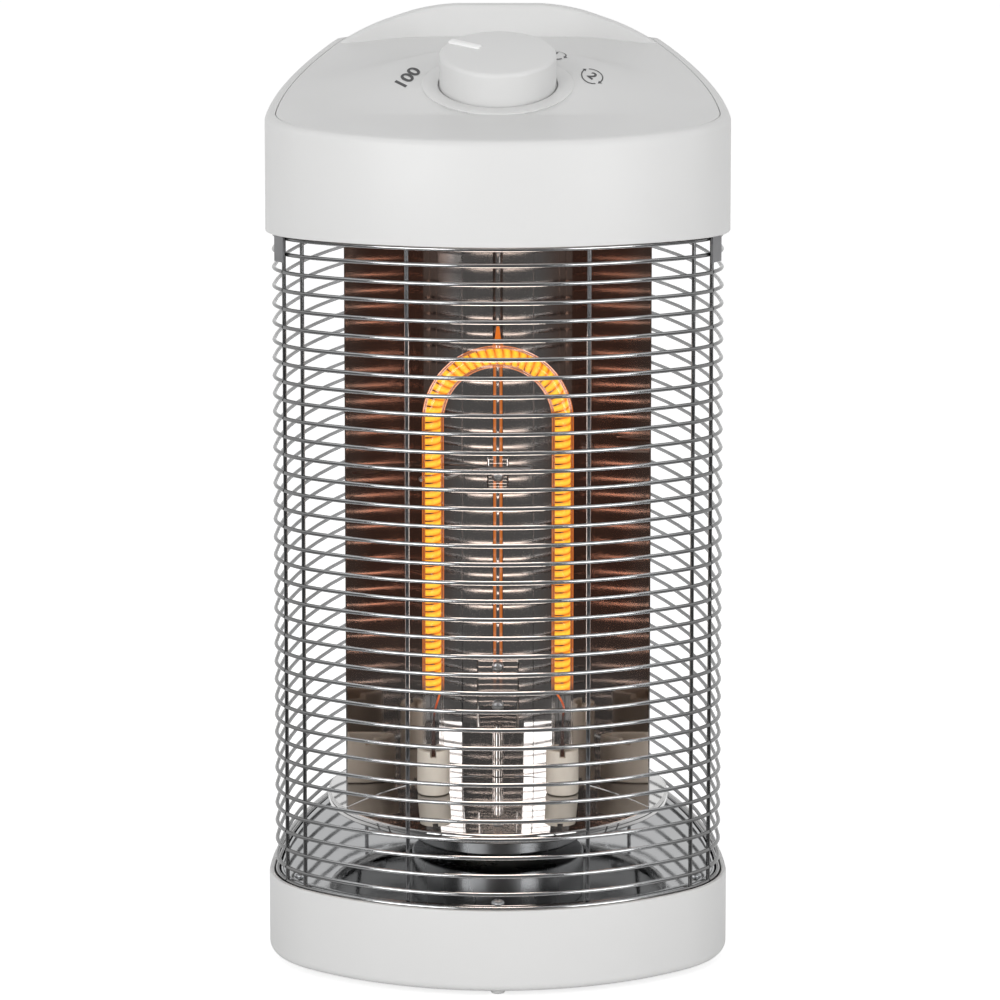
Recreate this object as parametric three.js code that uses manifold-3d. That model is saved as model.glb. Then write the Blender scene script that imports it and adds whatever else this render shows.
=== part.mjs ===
// Infrared heater with a swinging reflector and lamp, in millimetres, +Z up.
// The front faces -Y, and the origin is on the floor under the middle of the body.
import * as THREE from 'three';
import { mergeVertices } from 'three/addons/utils/BufferGeometryUtils.js';
import Module from 'manifold-3d';

const wasm = await Module();
wasm.setup();

// Body outline: four tangent arcs on each side, seen from above
const bodyWidth = 229;
const bodyDepth = 252;
const frontRadius = 154;
const cornerRadius = 51;
const sideRadius = 424;
const rearRadius = 45;

// Heights of the main parts
const footHeight = 3.5;
const baseHeight = 40.5;
const guardHeight = 322;
const shoulderHeight = 50.5;
const lidRise = 34.5;
const lidSag = 4.1;
const lipHeight = 17;

// Walls and clearances
const wall = 2.5;
const seatGap = 0.3;
const runGap = 0.4;
const overrun = 2;
const guardGap = 0.5;

// Base tub
const baseEdge = 4;
const baseEdgeWidth = 1.2;
const lowerWall = 5;
const shelfWall = 4;
const guardSink = 14.3;
const footRadius = 8;
const footFrontSpread = 72;
const footRearSpread = 60;
const footFrontInset = 60;
const footRearInset = 30;

// Deck over the tub
const deckThickness = 1;
const deckProud = 1;
const deckSkirt = 7;
const deckGap = 0.5;
const deckScrewInset = 9.5;
const deckCornerScrewInset = 11.7;
const deckCornerScrewShare = 0.447;
const deckRearScrewInset = 19.5;
const deckRearScrewShare = 0.397;
const bossRadius = 4;
const bossHole = 1.9;
const bossHoleDepth = 9;
const frontLugHeight = 8.6;

// Wire guard
const wire = 2;
const ringPitch = 9;
const ringEndPitch = 7;
const frontPostShare = 0.0774;
const rearPostShare = 0.4365;
const guardWireShare = 0.4527;
const guardRearWireShare = 0.324;
const guardRise = 6.7;

// Guard clips, flat straps over the top rings where the two halves meet
const clipWidth = 9.5;
const clipThickness = 1.2;
const clipHeight = 12.5;

// Rear column
const columnWidth = 44;
const columnDepth = 14;
const columnWall = 1.5;
const columnInset = 30;

// Top housing and lid
const shieldThickness = 1.2;
const shoulderRound = 3.5;
const shoulderStep = 1.2;
const shoulderInset = 3.2;
const seamInset = 5.3;
const ledgeInset = 8;
const ledgeGap = 0.7;
const ledgeHeight = 2;
const ledgeFlare = 4;
const lidThickness = 2.7;
const lipDepth = 30;
const lipFlat = 35;
const lipKnee = 68;
const lipKneeDrop = 11.3;
const lipFoot = 88;
const lipFootDrop = 21;
const lipEdge = 1.6;
const lipWall = 3;
const gripWidth = 80;
const gripHeight = 27;
const gripRoof = 5;

// Dial boss and knob, tilted towards the front
const dialTilt = THREE.MathUtils.degToRad(18.5);
const dialRadius = 38;
const dialWall = 2.5;
const dialFrontInset = 102.8;
const dialRise = 0.4;
const dialWell = 2;
const swellReach = 62;
const knobRadius = 29.2;
const knobHeight = 18.8;
const knobGap = 0.8;
const knobEdge = 2.2;
const knobDome = 0.4;
const knobFloat = 0.5;
const pointerAngle = THREE.MathUtils.degToRad(150);
const pointerLength = 17;
const pointerWidth = 2.4;
const pointerHeight = 0.8;
const shaftRadius = 3;
const shaftLength = 21;
const shaftSink = 8;
const switchWidth = 34;
const switchHeight = 20;

// Thermal cutout on the heat shield
const cutoutRadius = 8;
const cutoutHeight = 6;
const cutoutSide = 40;
const cutoutRear = 40;

// Turntable, about its own upright spindle
const spindleShare = 0.45952;
const drumLift = 4;
const drumRadius = 44;
const drumHeight = 22.5;
const drumWall = 1.5;
const spindleRadius = 9;
const spindleBore = 5;
const spindleDrop = 20;
const discSideGap = 27.5;
const discFrontGap = 28.8;
const discThickness = 1.2;
const rimDepth = 4.5;
const rimWidth = 2.5;
const rimRound = 1;

// Spindle bush, retaining clip and gears
const bushRadius = 13;
const bushFlange = 22;
const bushLength = 6;
const clipRingRadius = 14;
const clipRingHeight = 2.1;
const gearModule = 1.5;
const gearTeeth = 48;
const sectorTeeth = 14;
const pinionTeeth = 10;
const gearWidth = 6;
const gearHub = 15;
const gearDrop = 6;
const pressureAngle = THREE.MathUtils.degToRad(25);
const backlash = 0.3;
const addendumShare = 0.8;
const dedendumShare = 1.15;

// Oscillation motor
const motorRadius = 25;
const motorHeight = 18;
const motorEarSpan = 74;
const motorEarWidth = 11;
const motorEarThickness = 1.5;
const motorScrewSpread = 31.5;
const motorShaft = 2.5;
const motorShaftSink = 4;

// Tip-over switch, with its plunger through the floor of the tub
const plungerRadius = 3.6;
const plungerInset = 11.5;
const plungerCollar = 8;
const plungerStem = 2;
const plungerTravel = 3;
const tipBodyWidth = 20;
const tipBodyDepth = 10;
const tipBodyHeight = 22;
const tipRoof = 2.5;

// Supply side: terminal block, inlet gland, harness
const terminalWidth = 36;
const terminalDepth = 16;
const terminalHeight = 17;
const glandRadius = 6;
const glandBore = 3.8;
const glandFlange = 9;
const glandFlangeWidth = 3;
const glandShare = 0.667;
const glandHeight = 18;
const harnessRadius = 2.5;
const harnessRise = 22;
const harnessBend = 18;

// Reflector, in the turntable's own frame
const reflectorInset = 11.5;
const reflectorBack = 19;
const reflectorDepth = 57;
const reflectorPower = 2.4;
const reflectorHeight = 288.7;
const reflectorSheet = 0.8;
const beadRadius = 2.75;
const padWidth = 22;
const padBottom = 25.4;
const padHeight = 39;
const padThickness = 1;
const eyePadWidth = 11;
const eyePadHeight = 19;
const eyePadThickness = 1.6;
const lowerScrewHeight = 37.5;
const upperScrewHeight = 58.1;
const eyeScrewHeight = 158.2;
const bracketWidth = 18;
const bracketThickness = 2;
const bracketHeight = 172;
const bracketFoot = 18;

// Lamp
const lampSpread = 32.8;
const lampForward = 12;
const lampTubeRadius = 5.5;
const lampTubeWall = 1;
const lampTop = 230.5;
const lampTip = 10;
const lampTipRadius = 2.6;
const capRadius = 8.3;
const capHeight = 23;
const capSocket = 6;
const capSlotWidth = 3;
const capSlotDepth = 3;
const glowBottom = 53.2;
const curlRadius = 2.9;
const curlWire = 0.5;
const curlPitch = 3.85;
const curlSides = 3;
const curlSteps = 5;
const mostCurls = 100;
const supportWire = 0.8;
const supportRise = 4.2;
const supportTail = 17;
const supportBend = 12;
const hookSweep = THREE.MathUtils.degToRad(210);

// Screws
const screwHead = 3.1;
const screwHeadHeight = 2;
const screwShank = 1.6;
const screwLength = 8;

// Facets
const roundSides = 24;
const smallSides = 8;
const discSides = 32;
const capSides = 16;
const fineSteps = { front: 4, corner: 2, side: 4, rear: 4 };
const coarseSteps = { front: 2, corner: 1, side: 2, rear: 2 };
const profileSteps = 8;
const topSteps = [0, 1 / 3, 2 / 3];
const underSteps = [1 / 2, 0];
const hookSteps = 7;
const bendSteps = 3;
const archSteps = 10;
const lampSides = 8;
const cableSides = 5;

// Heights and places that follow
const floorTop = footHeight + wall;
const baseTop = footHeight + baseHeight;
const ledgeTop = baseTop - guardSink;
const deckTop = baseTop + deckProud;
const housingBottom = baseTop + guardHeight;
const shieldBottom = housingBottom + guardRise + seatGap;
const shieldTop = shieldBottom + shieldThickness;
const shoulderTop = housingBottom + shoulderHeight;
const bodyFront = -bodyDepth / 2;
const bodyRear = bodyDepth / 2;
const lipFront = bodyRear - lipDepth;
const lipTop = shoulderTop + lidRise + lipHeight;
const spindleFrontInset = spindleShare * bodyDepth;
const spindleY = bodyFront + spindleFrontInset;
const discRadius = Math.min(spindleFrontInset - discFrontGap, bodyWidth / 2 - discSideGap);
const reflectorHalf = discRadius - reflectorInset;
const drumBottom = deckTop + drumLift;
const discBottom = drumBottom + drumHeight + seatGap;
const discTop = discBottom + discThickness;
const guardInset = wall + guardGap;
const deckInset = guardInset + wire + deckGap;
const pinionPitchRadius = gearModule * pinionTeeth / 2;
const gearPitchRadius = gearModule * gearTeeth / 2;
const pinionY = spindleY + gearPitchRadius + pinionPitchRadius;
const leadBore = harnessRadius + guardGap;
const gearBottom = baseTop - gearDrop - gearWidth;
const motorTop = floorTop + seatGap + motorHeight;

// Material with the colour and finish of one kind of surface
function finish(color, roughness, metalness) {
  return new THREE.MeshStandardMaterial({ color, roughness, metalness });
}

const whitePlastic = () => finish(0xf1f1f0, 0.35, 0);
const chromeWire = () => finish(0xb9bcbe, 0.2, 1);
const mirrorSteel = () => finish(0xc4c2c0, 0.08, 1);
const plainSteel = () => finish(0x8f9193, 0.4, 1);
const darkSteel = () => finish(0x55565a, 0.45, 1);
const rubber = () => finish(0x2a2a2a, 0.85, 0);
const gearPlastic = () => finish(0xe6e2d6, 0.5, 0);
const darkPlastic = () => finish(0x222326, 0.6, 0);
const ceramic = () => finish(0xe9dfd3, 0.6, 0);
const quartz = () => finish(0xf4efe8, 0.05, 0);
const glowingCarbon = () => finish(0xff8a1c, 0.7, 0);

function toSolid(geometry) {
  const bare = geometry.clone();
  bare.deleteAttribute('normal');
  bare.deleteAttribute('uv');
  const merged = mergeVertices(bare);
  return new wasm.Manifold(new wasm.Mesh({
    numProp: 3,
    vertProperties: new Float32Array(merged.attributes.position.array),
    triVerts: new Uint32Array(merged.index.array),
  }));
}

function toGeometry(solid) {
  const mesh = solid.getMesh();
  const geometry = new THREE.BufferGeometry();
  geometry.setAttribute('position', new THREE.BufferAttribute(mesh.vertProperties, mesh.numProp));
  geometry.setIndex(new THREE.BufferAttribute(mesh.triVerts, 1));
  geometry.computeVertexNormals();
  return geometry;
}

function join(first, ...others) {
  return toGeometry(others.reduce((solid, next) => solid.add(toSolid(next)), toSolid(first)));
}

function cut(first, ...others) {
  return toGeometry(others.reduce((solid, next) => solid.subtract(toSolid(next)), toSolid(first)));
}

function common(first, ...others) {
  return toGeometry(others.reduce((solid, next) => solid.intersect(toSolid(next)), toSolid(first)));
}

const model = new THREE.Group();
const turntable = new THREE.Group();
turntable.position.set(0, spindleY, discTop);
const dial = new THREE.Group();
model.add(turntable, dial);

function place(name, geometry, material, parent = model) {
  const mesh = new THREE.Mesh(geometry, material);
  mesh.name = name;
  parent.add(mesh);
  return mesh;
}

function cylinder(radius, bottom, top, x = 0, y = 0, sides = roundSides) {
  return new THREE.CylinderGeometry(radius, radius, top - bottom, sides)
    .rotateX(Math.PI / 2)
    .translate(x, y, (top + bottom) / 2);
}

function block(x0, x1, y0, y1, z0, z1) {
  return new THREE.BoxGeometry(x1 - x0, y1 - y0, z1 - z0)
    .translate((x0 + x1) / 2, (y0 + y1) / 2, (z0 + z1) / 2);
}

function centredBlock(width, depth, bottom, top, x = 0, y = 0) {
  return block(x - width / 2, x + width / 2, y - depth / 2, y + depth / 2, bottom, top);
}

// Solid of revolution about +Z: the profile is a list of [radius, height], going up its outside
function turned(profile, sides = roundSides) {
  const points = profile.map(([radius, height]) => new THREE.Vector2(radius, height));
  return new THREE.LatheGeometry(points, sides).rotateX(Math.PI / 2);
}

// The same for a profile that stays off the axis and closes on itself
function turnedRing(profile, sides = roundSides) {
  return turned([...profile, profile[0]], sides);
}

function prism(points, bottom, top) {
  const settings = { depth: top - bottom, bevelEnabled: false };
  return new THREE.ExtrudeGeometry(new THREE.Shape(points), settings).translate(0, 0, bottom);
}

// Body outline as four arcs on the +X side, from the front middle to the start of the rear flat
function outlineArcs() {
  const half = bodyWidth / 2;
  const frontCentre = new THREE.Vector2(0, bodyFront + frontRadius);
  const frontSpan = Math.asin((half - cornerRadius) / (frontRadius - cornerRadius));
  const reach = frontRadius - cornerRadius;
  const cornerCentre = new THREE.Vector2(
    reach * Math.sin(frontSpan),
    frontCentre.y - reach * Math.cos(frontSpan),
  );
  const sideCentre = new THREE.Vector2(half - sideRadius, cornerCentre.y);
  const rearReach = sideRadius - rearRadius;
  const sideSpan = Math.asin((bodyRear - rearRadius - sideCentre.y) / rearReach);
  const rearCentre = new THREE.Vector2(
    sideCentre.x + rearReach * Math.cos(sideSpan),
    bodyRear - rearRadius,
  );
  const quarter = Math.PI / 2;
  return {
    front: { centre: frontCentre, radius: frontRadius, start: -quarter, end: frontSpan - quarter },
    corner: { centre: cornerCentre, radius: cornerRadius, start: frontSpan - quarter, end: 0 },
    side: { centre: sideCentre, radius: sideRadius, start: 0, end: sideSpan },
    rear: { centre: rearCentre, radius: rearRadius, start: sideSpan, end: quarter },
  };
}

const arcs = outlineArcs();
const glandSide = glandShare * arcs.rear.centre.x;

// Point on one arc, moved inwards by inset
function arcPoint([name, share], inset) {
  const arc = arcs[name];
  const angle = arc.start + share * (arc.end - arc.start);
  const radius = arc.radius - inset;
  return new THREE.Vector2(
    arc.centre.x + radius * Math.cos(angle),
    arc.centre.y + radius * Math.sin(angle),
  );
}

// Share of the corner arc that one wire covers
function cornerWireShare() {
  const arc = arcs.corner;
  return wire / ((arc.radius - guardInset) * (arc.end - arc.start));
}

function shares(name, steps) {
  return Array.from({ length: steps }, (_, i) => [name, (i + 1) / steps]);
}

// The corner has a point where the two halves of the guard meet
function cornerShares(steps) {
  const ahead = shares('corner', steps).map(([name, share]) => [name, share * rearPostShare]);
  const rest = 1 - rearPostShare;
  const behind = shares('corner', steps).map(([name, share]) => [name, rearPostShare + share * rest]);
  return [...ahead, ...behind];
}

function stationsOf({ front, corner, side, rear }) {
  return [
    ['front', 0],
    ...shares('front', front),
    ...cornerShares(corner),
    ...shares('side', side),
    ...shares('rear', rear),
  ];
}

const fineStations = stationsOf(fineSteps);
const coarseStations = stationsOf(coarseSteps);

const mirrored = (point) => new THREE.Vector2(-point.x, point.y);

// Closed outline, counter-clockwise from the front middle
function outline(inset, stations = fineStations) {
  const right = stations.map((station) => arcPoint(station, inset));
  const left = right.slice(1).reverse().map(mirrored);
  return [...right, ...left];
}

// Indexed geometry from a list of corner triples and quads
function faceted(points, faces) {
  const geometry = new THREE.BufferGeometry();
  geometry.setFromPoints(points);
  geometry.setIndex(faces.flatMap((f) => (f.length === 3 ? f : [f[0], f[1], f[2], f[0], f[2], f[3]])));
  geometry.computeVertexNormals();
  return geometry;
}

const heightAt = (level, y) => (typeof level === 'function' ? level(y) : level);

// Solid whose wall follows the body outline through the levels [inset, height]. Going up the outside
// and down the inside makes a tub; a closed one joins its last level to its first and has no caps.
function outlineSolid(levels, { stations = fineStations, closed = false } = {}) {
  const rings = levels.map(([inset]) => outline(inset, stations));
  const count = rings[0].length;
  const lifted = (p, level) => new THREE.Vector3(p.x, p.y, heightAt(level, p.y));
  const points = rings.flatMap((ring, i) => ring.map((p) => lifted(p, levels[i][1])));
  const faces = [];
  const bands = closed ? levels.length : levels.length - 1;
  for (let level = 0; level < bands; level += 1) {
    const lower = level * count;
    const upper = ((level + 1) % levels.length) * count;
    for (let i = 0; i < count; i += 1) {
      const next = (i + 1) % count;
      faces.push([lower + i, lower + next, upper + next, upper + i]);
    }
  }
  if (!closed) {
    const last = (levels.length - 1) * count;
    faces.push([0, count - 1, 1], [last, last + 1, last + count - 1]);
    for (let i = 1; i < count - i - 1; i += 1) {
      const far = count - i;
      faces.push([i, far, far - 1, i + 1]);
      faces.push([last + i, last + i + 1, last + far - 1, last + far]);
    }
  }
  return faceted(points, faces);
}

// Height of the lid's surface, which rises to the rear in a shallow dip
function lidHeight(y) {
  const share = Math.min((y - bodyFront) / (lipFront - bodyFront), 1);
  return shoulderTop + lidRise * share - 4 * lidSag * share * (1 - share);
}

const lowered = (drop) => (y) => lidHeight(y) - drop;

// Lattice wall of rings and posts between two plan curves, in cells one wire thick
function lattice(outer, inner, posts, levels, rings) {
  const columns = outer.length - 1;
  const rows = levels.length - 1;
  const inside = (i, j) => i >= 0 && j >= 0 && i < columns && j < rows;
  const solid = (i, j) => inside(i, j) && (rings.has(j) || posts.has(i));
  const points = [];
  [outer, inner].forEach((curve) => curve.forEach((p) => levels.forEach((z) => {
    points.push(new THREE.Vector3(p.x, p.y, z));
  })));
  const at = (side, i, j) => (side * outer.length + i) * levels.length + j;
  const faces = [];
  for (let i = 0; i < columns; i += 1) {
    for (let j = 0; j < rows; j += 1) {
      if (!solid(i, j)) continue;
      const cell = (side) => [at(side, i, j), at(side, i + 1, j), at(side, i + 1, j + 1), at(side, i, j + 1)];
      const [a, b, c, d] = cell(0);
      const [e, f, g, h] = cell(1);
      faces.push([a, b, c, d], [e, h, g, f]);
      if (!solid(i, j - 1)) faces.push([a, e, f, b]);
      if (!solid(i, j + 1)) faces.push([d, c, g, h]);
      if (!solid(i - 1, j)) faces.push([a, d, h, e]);
      if (!solid(i + 1, j)) faces.push([b, f, g, c]);
    }
  }
  return toGeometry(toSolid(faceted(points, faces).toNonIndexed()));
}

// Levels of the guard: a foot, the rings with the gaps between them, and a head in the top housing
function guardLevels() {
  const gaps = Math.floor((guardHeight - 2 * ringEndPitch) / ringPitch);
  const centres = Array.from({ length: gaps + 1 }, (_, i) => baseTop + ringEndPitch + i * ringPitch);
  centres.unshift(baseTop);
  centres.push(housingBottom - seatGap - wire / 2);
  const levels = [ledgeTop + seatGap];
  const rings = new Set();
  centres.forEach((z) => {
    rings.add(levels.length);
    levels.push(z - wire / 2, z + wire / 2);
  });
  levels.push(shieldBottom - seatGap);
  return { levels, rings };
}

function guardPanel(stations) {
  const { levels, rings } = guardLevels();
  const outer = stations.map((station) => station.point(guardInset));
  const inner = stations.map((station) => station.point(guardInset + wire));
  const posts = new Set(stations.flatMap((station, i) => (station.post ? [i] : [])));
  return lattice(outer, inner, posts, levels, rings);
}

function rightStation(station, post = false) {
  return { point: (inset) => arcPoint(station, inset), post };
}

function leftStation(station, post = false) {
  return { point: (inset) => mirrored(arcPoint(station, inset)), post };
}

function makeGuard() {
  const width = cornerWireShare();
  const frontPost = frontPostShare - width / 2;
  const rearPost = rearPostShare - width / 2;
  const frontEnd = rearPost - seatGap / wire * width;
  const frontArc = shares('front', coarseSteps.front);
  const front = [
    leftStation(['corner', frontEnd]),
    leftStation(['corner', frontPost + width], true),
    leftStation(['corner', frontPost]),
    ...frontArc.slice().reverse().map((station) => leftStation(station)),
    rightStation(['front', 0]),
    ...frontArc.map((station) => rightStation(station)),
    rightStation(['corner', frontPost], true),
    rightStation(['corner', frontPost + width]),
    rightStation(['corner', frontEnd]),
  ];
  place('guard_front', guardPanel(front), chromeWire());

  const rest = [
    ['corner', rearPost + width],
    ['corner', 1],
    ...shares('side', coarseSteps.side),
    ...shares('rear', coarseSteps.rear),
  ];
  const rear = [
    rightStation(['corner', rearPost], true),
    ...rest.map((station) => rightStation(station)),
    ...rest.slice().reverse().map((station, i) => leftStation(station, i === rest.length - 1)),
    leftStation(['corner', rearPost]),
  ];
  place('guard_rear', guardPanel(rear), chromeWire());
}

// Point on the chord of the coarse outline that spans this share of one arc
function chordPoint(name, share, inset) {
  const steps = coarseSteps[name];
  const step = Math.min(Math.floor(share * steps), steps - 1);
  const from = arcPoint([name, step / steps], inset);
  return from.lerp(arcPoint([name, (step + 1) / steps], inset), share * steps - step);
}

function makeGuardWires() {
  const inset = guardInset + wire + runGap + wire / 2;
  const wires = { front: ['', guardWireShare], rear: ['rear_', guardRearWireShare] };
  Object.entries(wires).forEach(([arc, [prefix, share]]) => {
    const { x: spread, y } = chordPoint(arc, share, inset);
    [['left', -spread], ['right', spread]].forEach(([name, x]) => {
      const upright = cylinder(wire / 2, deckTop + seatGap, shieldBottom - seatGap, x, y, smallSides);
      place(`guard_wire_${prefix}${name}`, upright, chromeWire());
    });
  });
}

function makeGuardClips() {
  const spot = arcPoint(['corner', rearPostShare], guardInset - seatGap - clipThickness / 2);
  const angle = spot.clone().sub(arcs.corner.centre).angle();
  const top = housingBottom - seatGap;
  const strap = centredBlock(clipThickness, clipWidth, top - clipHeight, top);
  place('guard_clip_left', strap.clone().rotateZ(Math.PI - angle).translate(-spot.x, spot.y, 0), darkSteel());
  place('guard_clip_right', strap.rotateZ(angle).translate(spot.x, spot.y, 0), darkSteel());
}

const cornerScrew = arcPoint(['corner', deckCornerScrewShare], deckCornerScrewInset);
const rearScrew = arcPoint(['rear', deckRearScrewShare], deckRearScrewInset);

// Deck screws: front middle, front corners and rear, as [name, x, y]
const deckScrews = [
  ['front', 0, bodyFront + deckScrewInset],
  ['left', -cornerScrew.x, cornerScrew.y],
  ['right', cornerScrew.x, cornerScrew.y],
  ['rear_left', -rearScrew.x, rearScrew.y],
  ['rear_right', rearScrew.x, rearScrew.y],
];

const feet = [
  ['front_left', -footFrontSpread, bodyFront + footFrontInset],
  ['front_right', footFrontSpread, bodyFront + footFrontInset],
  ['rear_left', -footRearSpread, bodyRear - footRearInset],
  ['rear_right', footRearSpread, bodyRear - footRearInset],
];

const plungerY = bodyFront + plungerInset;

function makeBase() {
  const tub = outlineSolid([
    [baseEdge, footHeight],
    [baseEdgeWidth, footHeight + baseEdgeWidth],
    [0, footHeight + baseEdge],
    [0, baseTop],
    [wall, baseTop],
    [wall, ledgeTop],
    [lowerWall, ledgeTop],
    [lowerWall, floorTop],
  ]);
  const bossTop = deckTop - deckThickness - seatGap;
  const additions = [];
  const holes = [];
  deckScrews.forEach(([name, x, y]) => {
    const lugTop = deckTop - deckSkirt - seatGap;
    const bottom = name === 'front' ? lugTop - frontLugHeight : floorTop - overrun / 2;
    additions.push(cylinder(bossRadius, bottom, bossTop, x, y, smallSides));
    if (name === 'front') {
      additions.push(block(-bossRadius, bossRadius, bodyFront + wall / 2, y, bottom, lugTop));
    }
    holes.push(cylinder(bossHole, bossTop - bossHoleDepth, bossTop + overrun, x, y, smallSides));
  });
  [-motorScrewSpread, motorScrewSpread].forEach((x) => {
    const top = motorTop - motorEarThickness - seatGap;
    additions.push(cylinder(bossRadius, floorTop - overrun / 2, top, x, pinionY, smallSides));
    holes.push(cylinder(bossHole, top - bossHoleDepth, top + overrun, x, pinionY, smallSides));
  });
  const plungerBore = plungerRadius + runGap;
  holes.push(cylinder(plungerBore, footHeight - overrun, floorTop + overrun, 0, plungerY, capSides));
  const glandHole = cylinder(glandRadius + seatGap, -lowerWall - overrun, overrun, 0, 0, capSides)
    .rotateX(-Math.PI / 2)
    .translate(glandSide, bodyRear, glandHeight);
  holes.push(glandHole);
  place('base_shell', cut(join(tub, ...additions), ...holes), whitePlastic());
  feet.forEach(([name, x, y]) => {
    place(`foot_${name}`, cylinder(footRadius, 0, footHeight - seatGap, x, y, capSides), rubber());
  });
}

function makeDeck() {
  const under = deckTop - deckThickness;
  const pan = outlineSolid([
    [deckInset + deckThickness, under],
    [deckInset + deckThickness, deckTop - deckSkirt],
    [deckInset, deckTop - deckSkirt],
    [deckInset, deckTop - deckThickness],
    [deckInset + deckThickness, deckTop],
  ], { stations: coarseStations });
  const holes = deckScrews.map(([, x, y]) => (
    cylinder(screwShank + seatGap, under - overrun, deckTop + overrun, x, y, smallSides)
  ));
  const bushHole = cylinder(bushRadius + runGap, under - overrun, deckTop + overrun, 0, spindleY);
  const harnessHole = cylinder(leadBore, under - overrun, deckTop + overrun, 0, columnY, smallSides);
  const [, lugX, lugY] = deckScrews[0];
  const notch = cylinder(bossRadius + seatGap, deckTop - deckSkirt - overrun, under, lugX, lugY, smallSides);
  place('deck_plate', cut(pan, ...holes, bushHole, harnessHole, notch), mirrorSteel());
  deckScrews.forEach(([name, x, y]) => {
    place(`deck_screw_${name}`, screw().translate(x, y, deckTop + seatGap), plainSteel());
  });
}

// Pan head screw that points down, with the underside of its head at the origin
function screw(length = screwLength) {
  return turned([
    [0, -length],
    [screwShank, -length],
    [screwShank, 0],
    [screwHead, 0],
    [screwHead, screwHeadHeight],
    [0, screwHeadHeight],
  ], smallSides);
}

const columnY = bodyRear - columnInset;

function makeColumn() {
  const outer = centredBlock(columnWidth, columnDepth, deckTop + seatGap, shieldBottom - seatGap, 0, columnY);
  const inner = centredBlock(
    columnWidth - 2 * columnWall,
    columnDepth - 2 * columnWall,
    deckTop - overrun,
    shieldBottom + overrun,
    0,
    columnY,
  );
  place('rear_column', cut(outer, inner), plainSteel());
}

function makeTop() {
  const ring = outlineSolid([
    [0, housingBottom],
    [0, lowered(shoulderRound)],
    [shoulderStep, lowered(shoulderStep)],
    [shoulderInset, lidHeight],
    [seamInset, lidHeight],
    [seamInset, lowered(lidThickness + ledgeGap)],
    [ledgeInset, lowered(lidThickness + ledgeGap)],
    [ledgeInset, lowered(lidThickness + ledgeGap + ledgeHeight)],
    [shelfWall, lowered(lidThickness + ledgeGap + ledgeHeight + ledgeFlare)],
    [shelfWall, shieldTop + seatGap],
    [wall, shieldTop + seatGap],
    [wall, housingBottom],
  ], { closed: true });
  const gripFloor = lipTop - gripRoof - gripHeight;
  const lipBottom = gripFloor - wall;
  const lipBody = outlineSolid([[0, lipBottom], [0, lipTop - lipEdge], [lipEdge, lipTop]]);
  const side = [[lipFlat, lipTop], [lipKnee, lipTop - lipKneeDrop], [lipFoot, lipTop - lipFootDrop]];
  const foot = [gripWidth / 2 + wall, lipBottom];
  const right = [...side, foot].map(([x, z]) => new THREE.Vector2(x, z));
  const profile = prism([...right, ...right.slice().reverse().map(mirrored)].reverse(), 0, lipDepth + overrun)
    .rotateX(Math.PI / 2)
    .translate(0, bodyRear + overrun, 0);
  const lip = common(lipBody, profile);
  const grip = block(
    -gripWidth / 2,
    gripWidth / 2,
    lipFront + lipWall,
    bodyRear + overrun,
    gripFloor,
    gripFloor + gripHeight,
  );
  place('top_housing', cut(join(ring, lip), grip), whitePlastic());

  const shield = outlineSolid([[guardInset, shieldBottom], [guardInset, shieldTop]]);
  const leadHole = cylinder(leadBore, shieldBottom - overrun, shieldTop + overrun, 0, columnY, smallSides);
  place('heat_shield', cut(shield, leadHole), plainSteel());
  const cutout = turned([
    [0, shieldTop + seatGap],
    [cutoutRadius, shieldTop + seatGap],
    [cutoutRadius, shieldTop + cutoutHeight / 2],
    [cutoutRadius / 2, shieldTop + cutoutHeight],
    [0, shieldTop + cutoutHeight],
  ], capSides).translate(-cutoutSide, cutoutRear, 0);
  place('thermal_cutout', cutout, plainSteel());
}

const dialY = bodyFront + dialFrontInset;
// The front edge of the dial boss is flush with the lid
const dialZ = lidHeight(dialY - dialRadius * Math.cos(dialTilt)) + dialRadius * Math.sin(dialTilt);
dial.position.set(0, dialY, dialZ);
dial.rotation.x = dialTilt;

const tilted = (geometry) => geometry.rotateX(dialTilt).translate(0, dialY, dialZ);

// The lid swells up to the plane of the dial and falls away round it
function lidSurface(x, y) {
  const plane = dialZ + (y - dialY) * Math.tan(dialTilt);
  const reach = Math.hypot(x, y - dialY) - dialRadius;
  const faded = THREE.MathUtils.smoothstep(reach, 0, swellReach);
  return lidHeight(y) + Math.max(plane - lidHeight(y), 0) * (1 - faded);
}

// One ring of the lid, a share of the way from its edge to the dial
function lidRing(share, drop) {
  const centre = new THREE.Vector2(0, dialY);
  return outline(seamInset + seatGap).map((edge) => {
    const rim = edge.clone().sub(centre).setLength(dialRadius).add(centre);
    const { x, y } = edge.lerp(rim, share);
    return new THREE.Vector3(x, y, lidSurface(x, y) - drop);
  });
}

function makeLid() {
  const floor = -dialWell - dialWall;
  const under = [
    lidRing(1, -floor / Math.cos(dialTilt)),
    ...underSteps.map((share) => lidRing(share, lidThickness)),
  ];
  const top = [...topSteps.map((share) => lidRing(share, 0)), lidRing(1, 0), lidRing(1, -dialRise)];
  const well = tilted(cylinder(knobRadius + knobGap, -dialWell, overrun, 0, 0, discSides));
  const shaftHole = tilted(cylinder(shaftRadius + runGap, floor - overrun, overrun, 0, 0, smallSides));
  const behindLip = lipFront - seatGap + bodyDepth / 2;
  const rearCut = centredBlock(bodyWidth, bodyDepth, shoulderTop, lipTop, 0, behindLip);
  place('control_lid', cut(skin([...under, ...top]), well, shaftHole, rearCut), whitePlastic());
}

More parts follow.
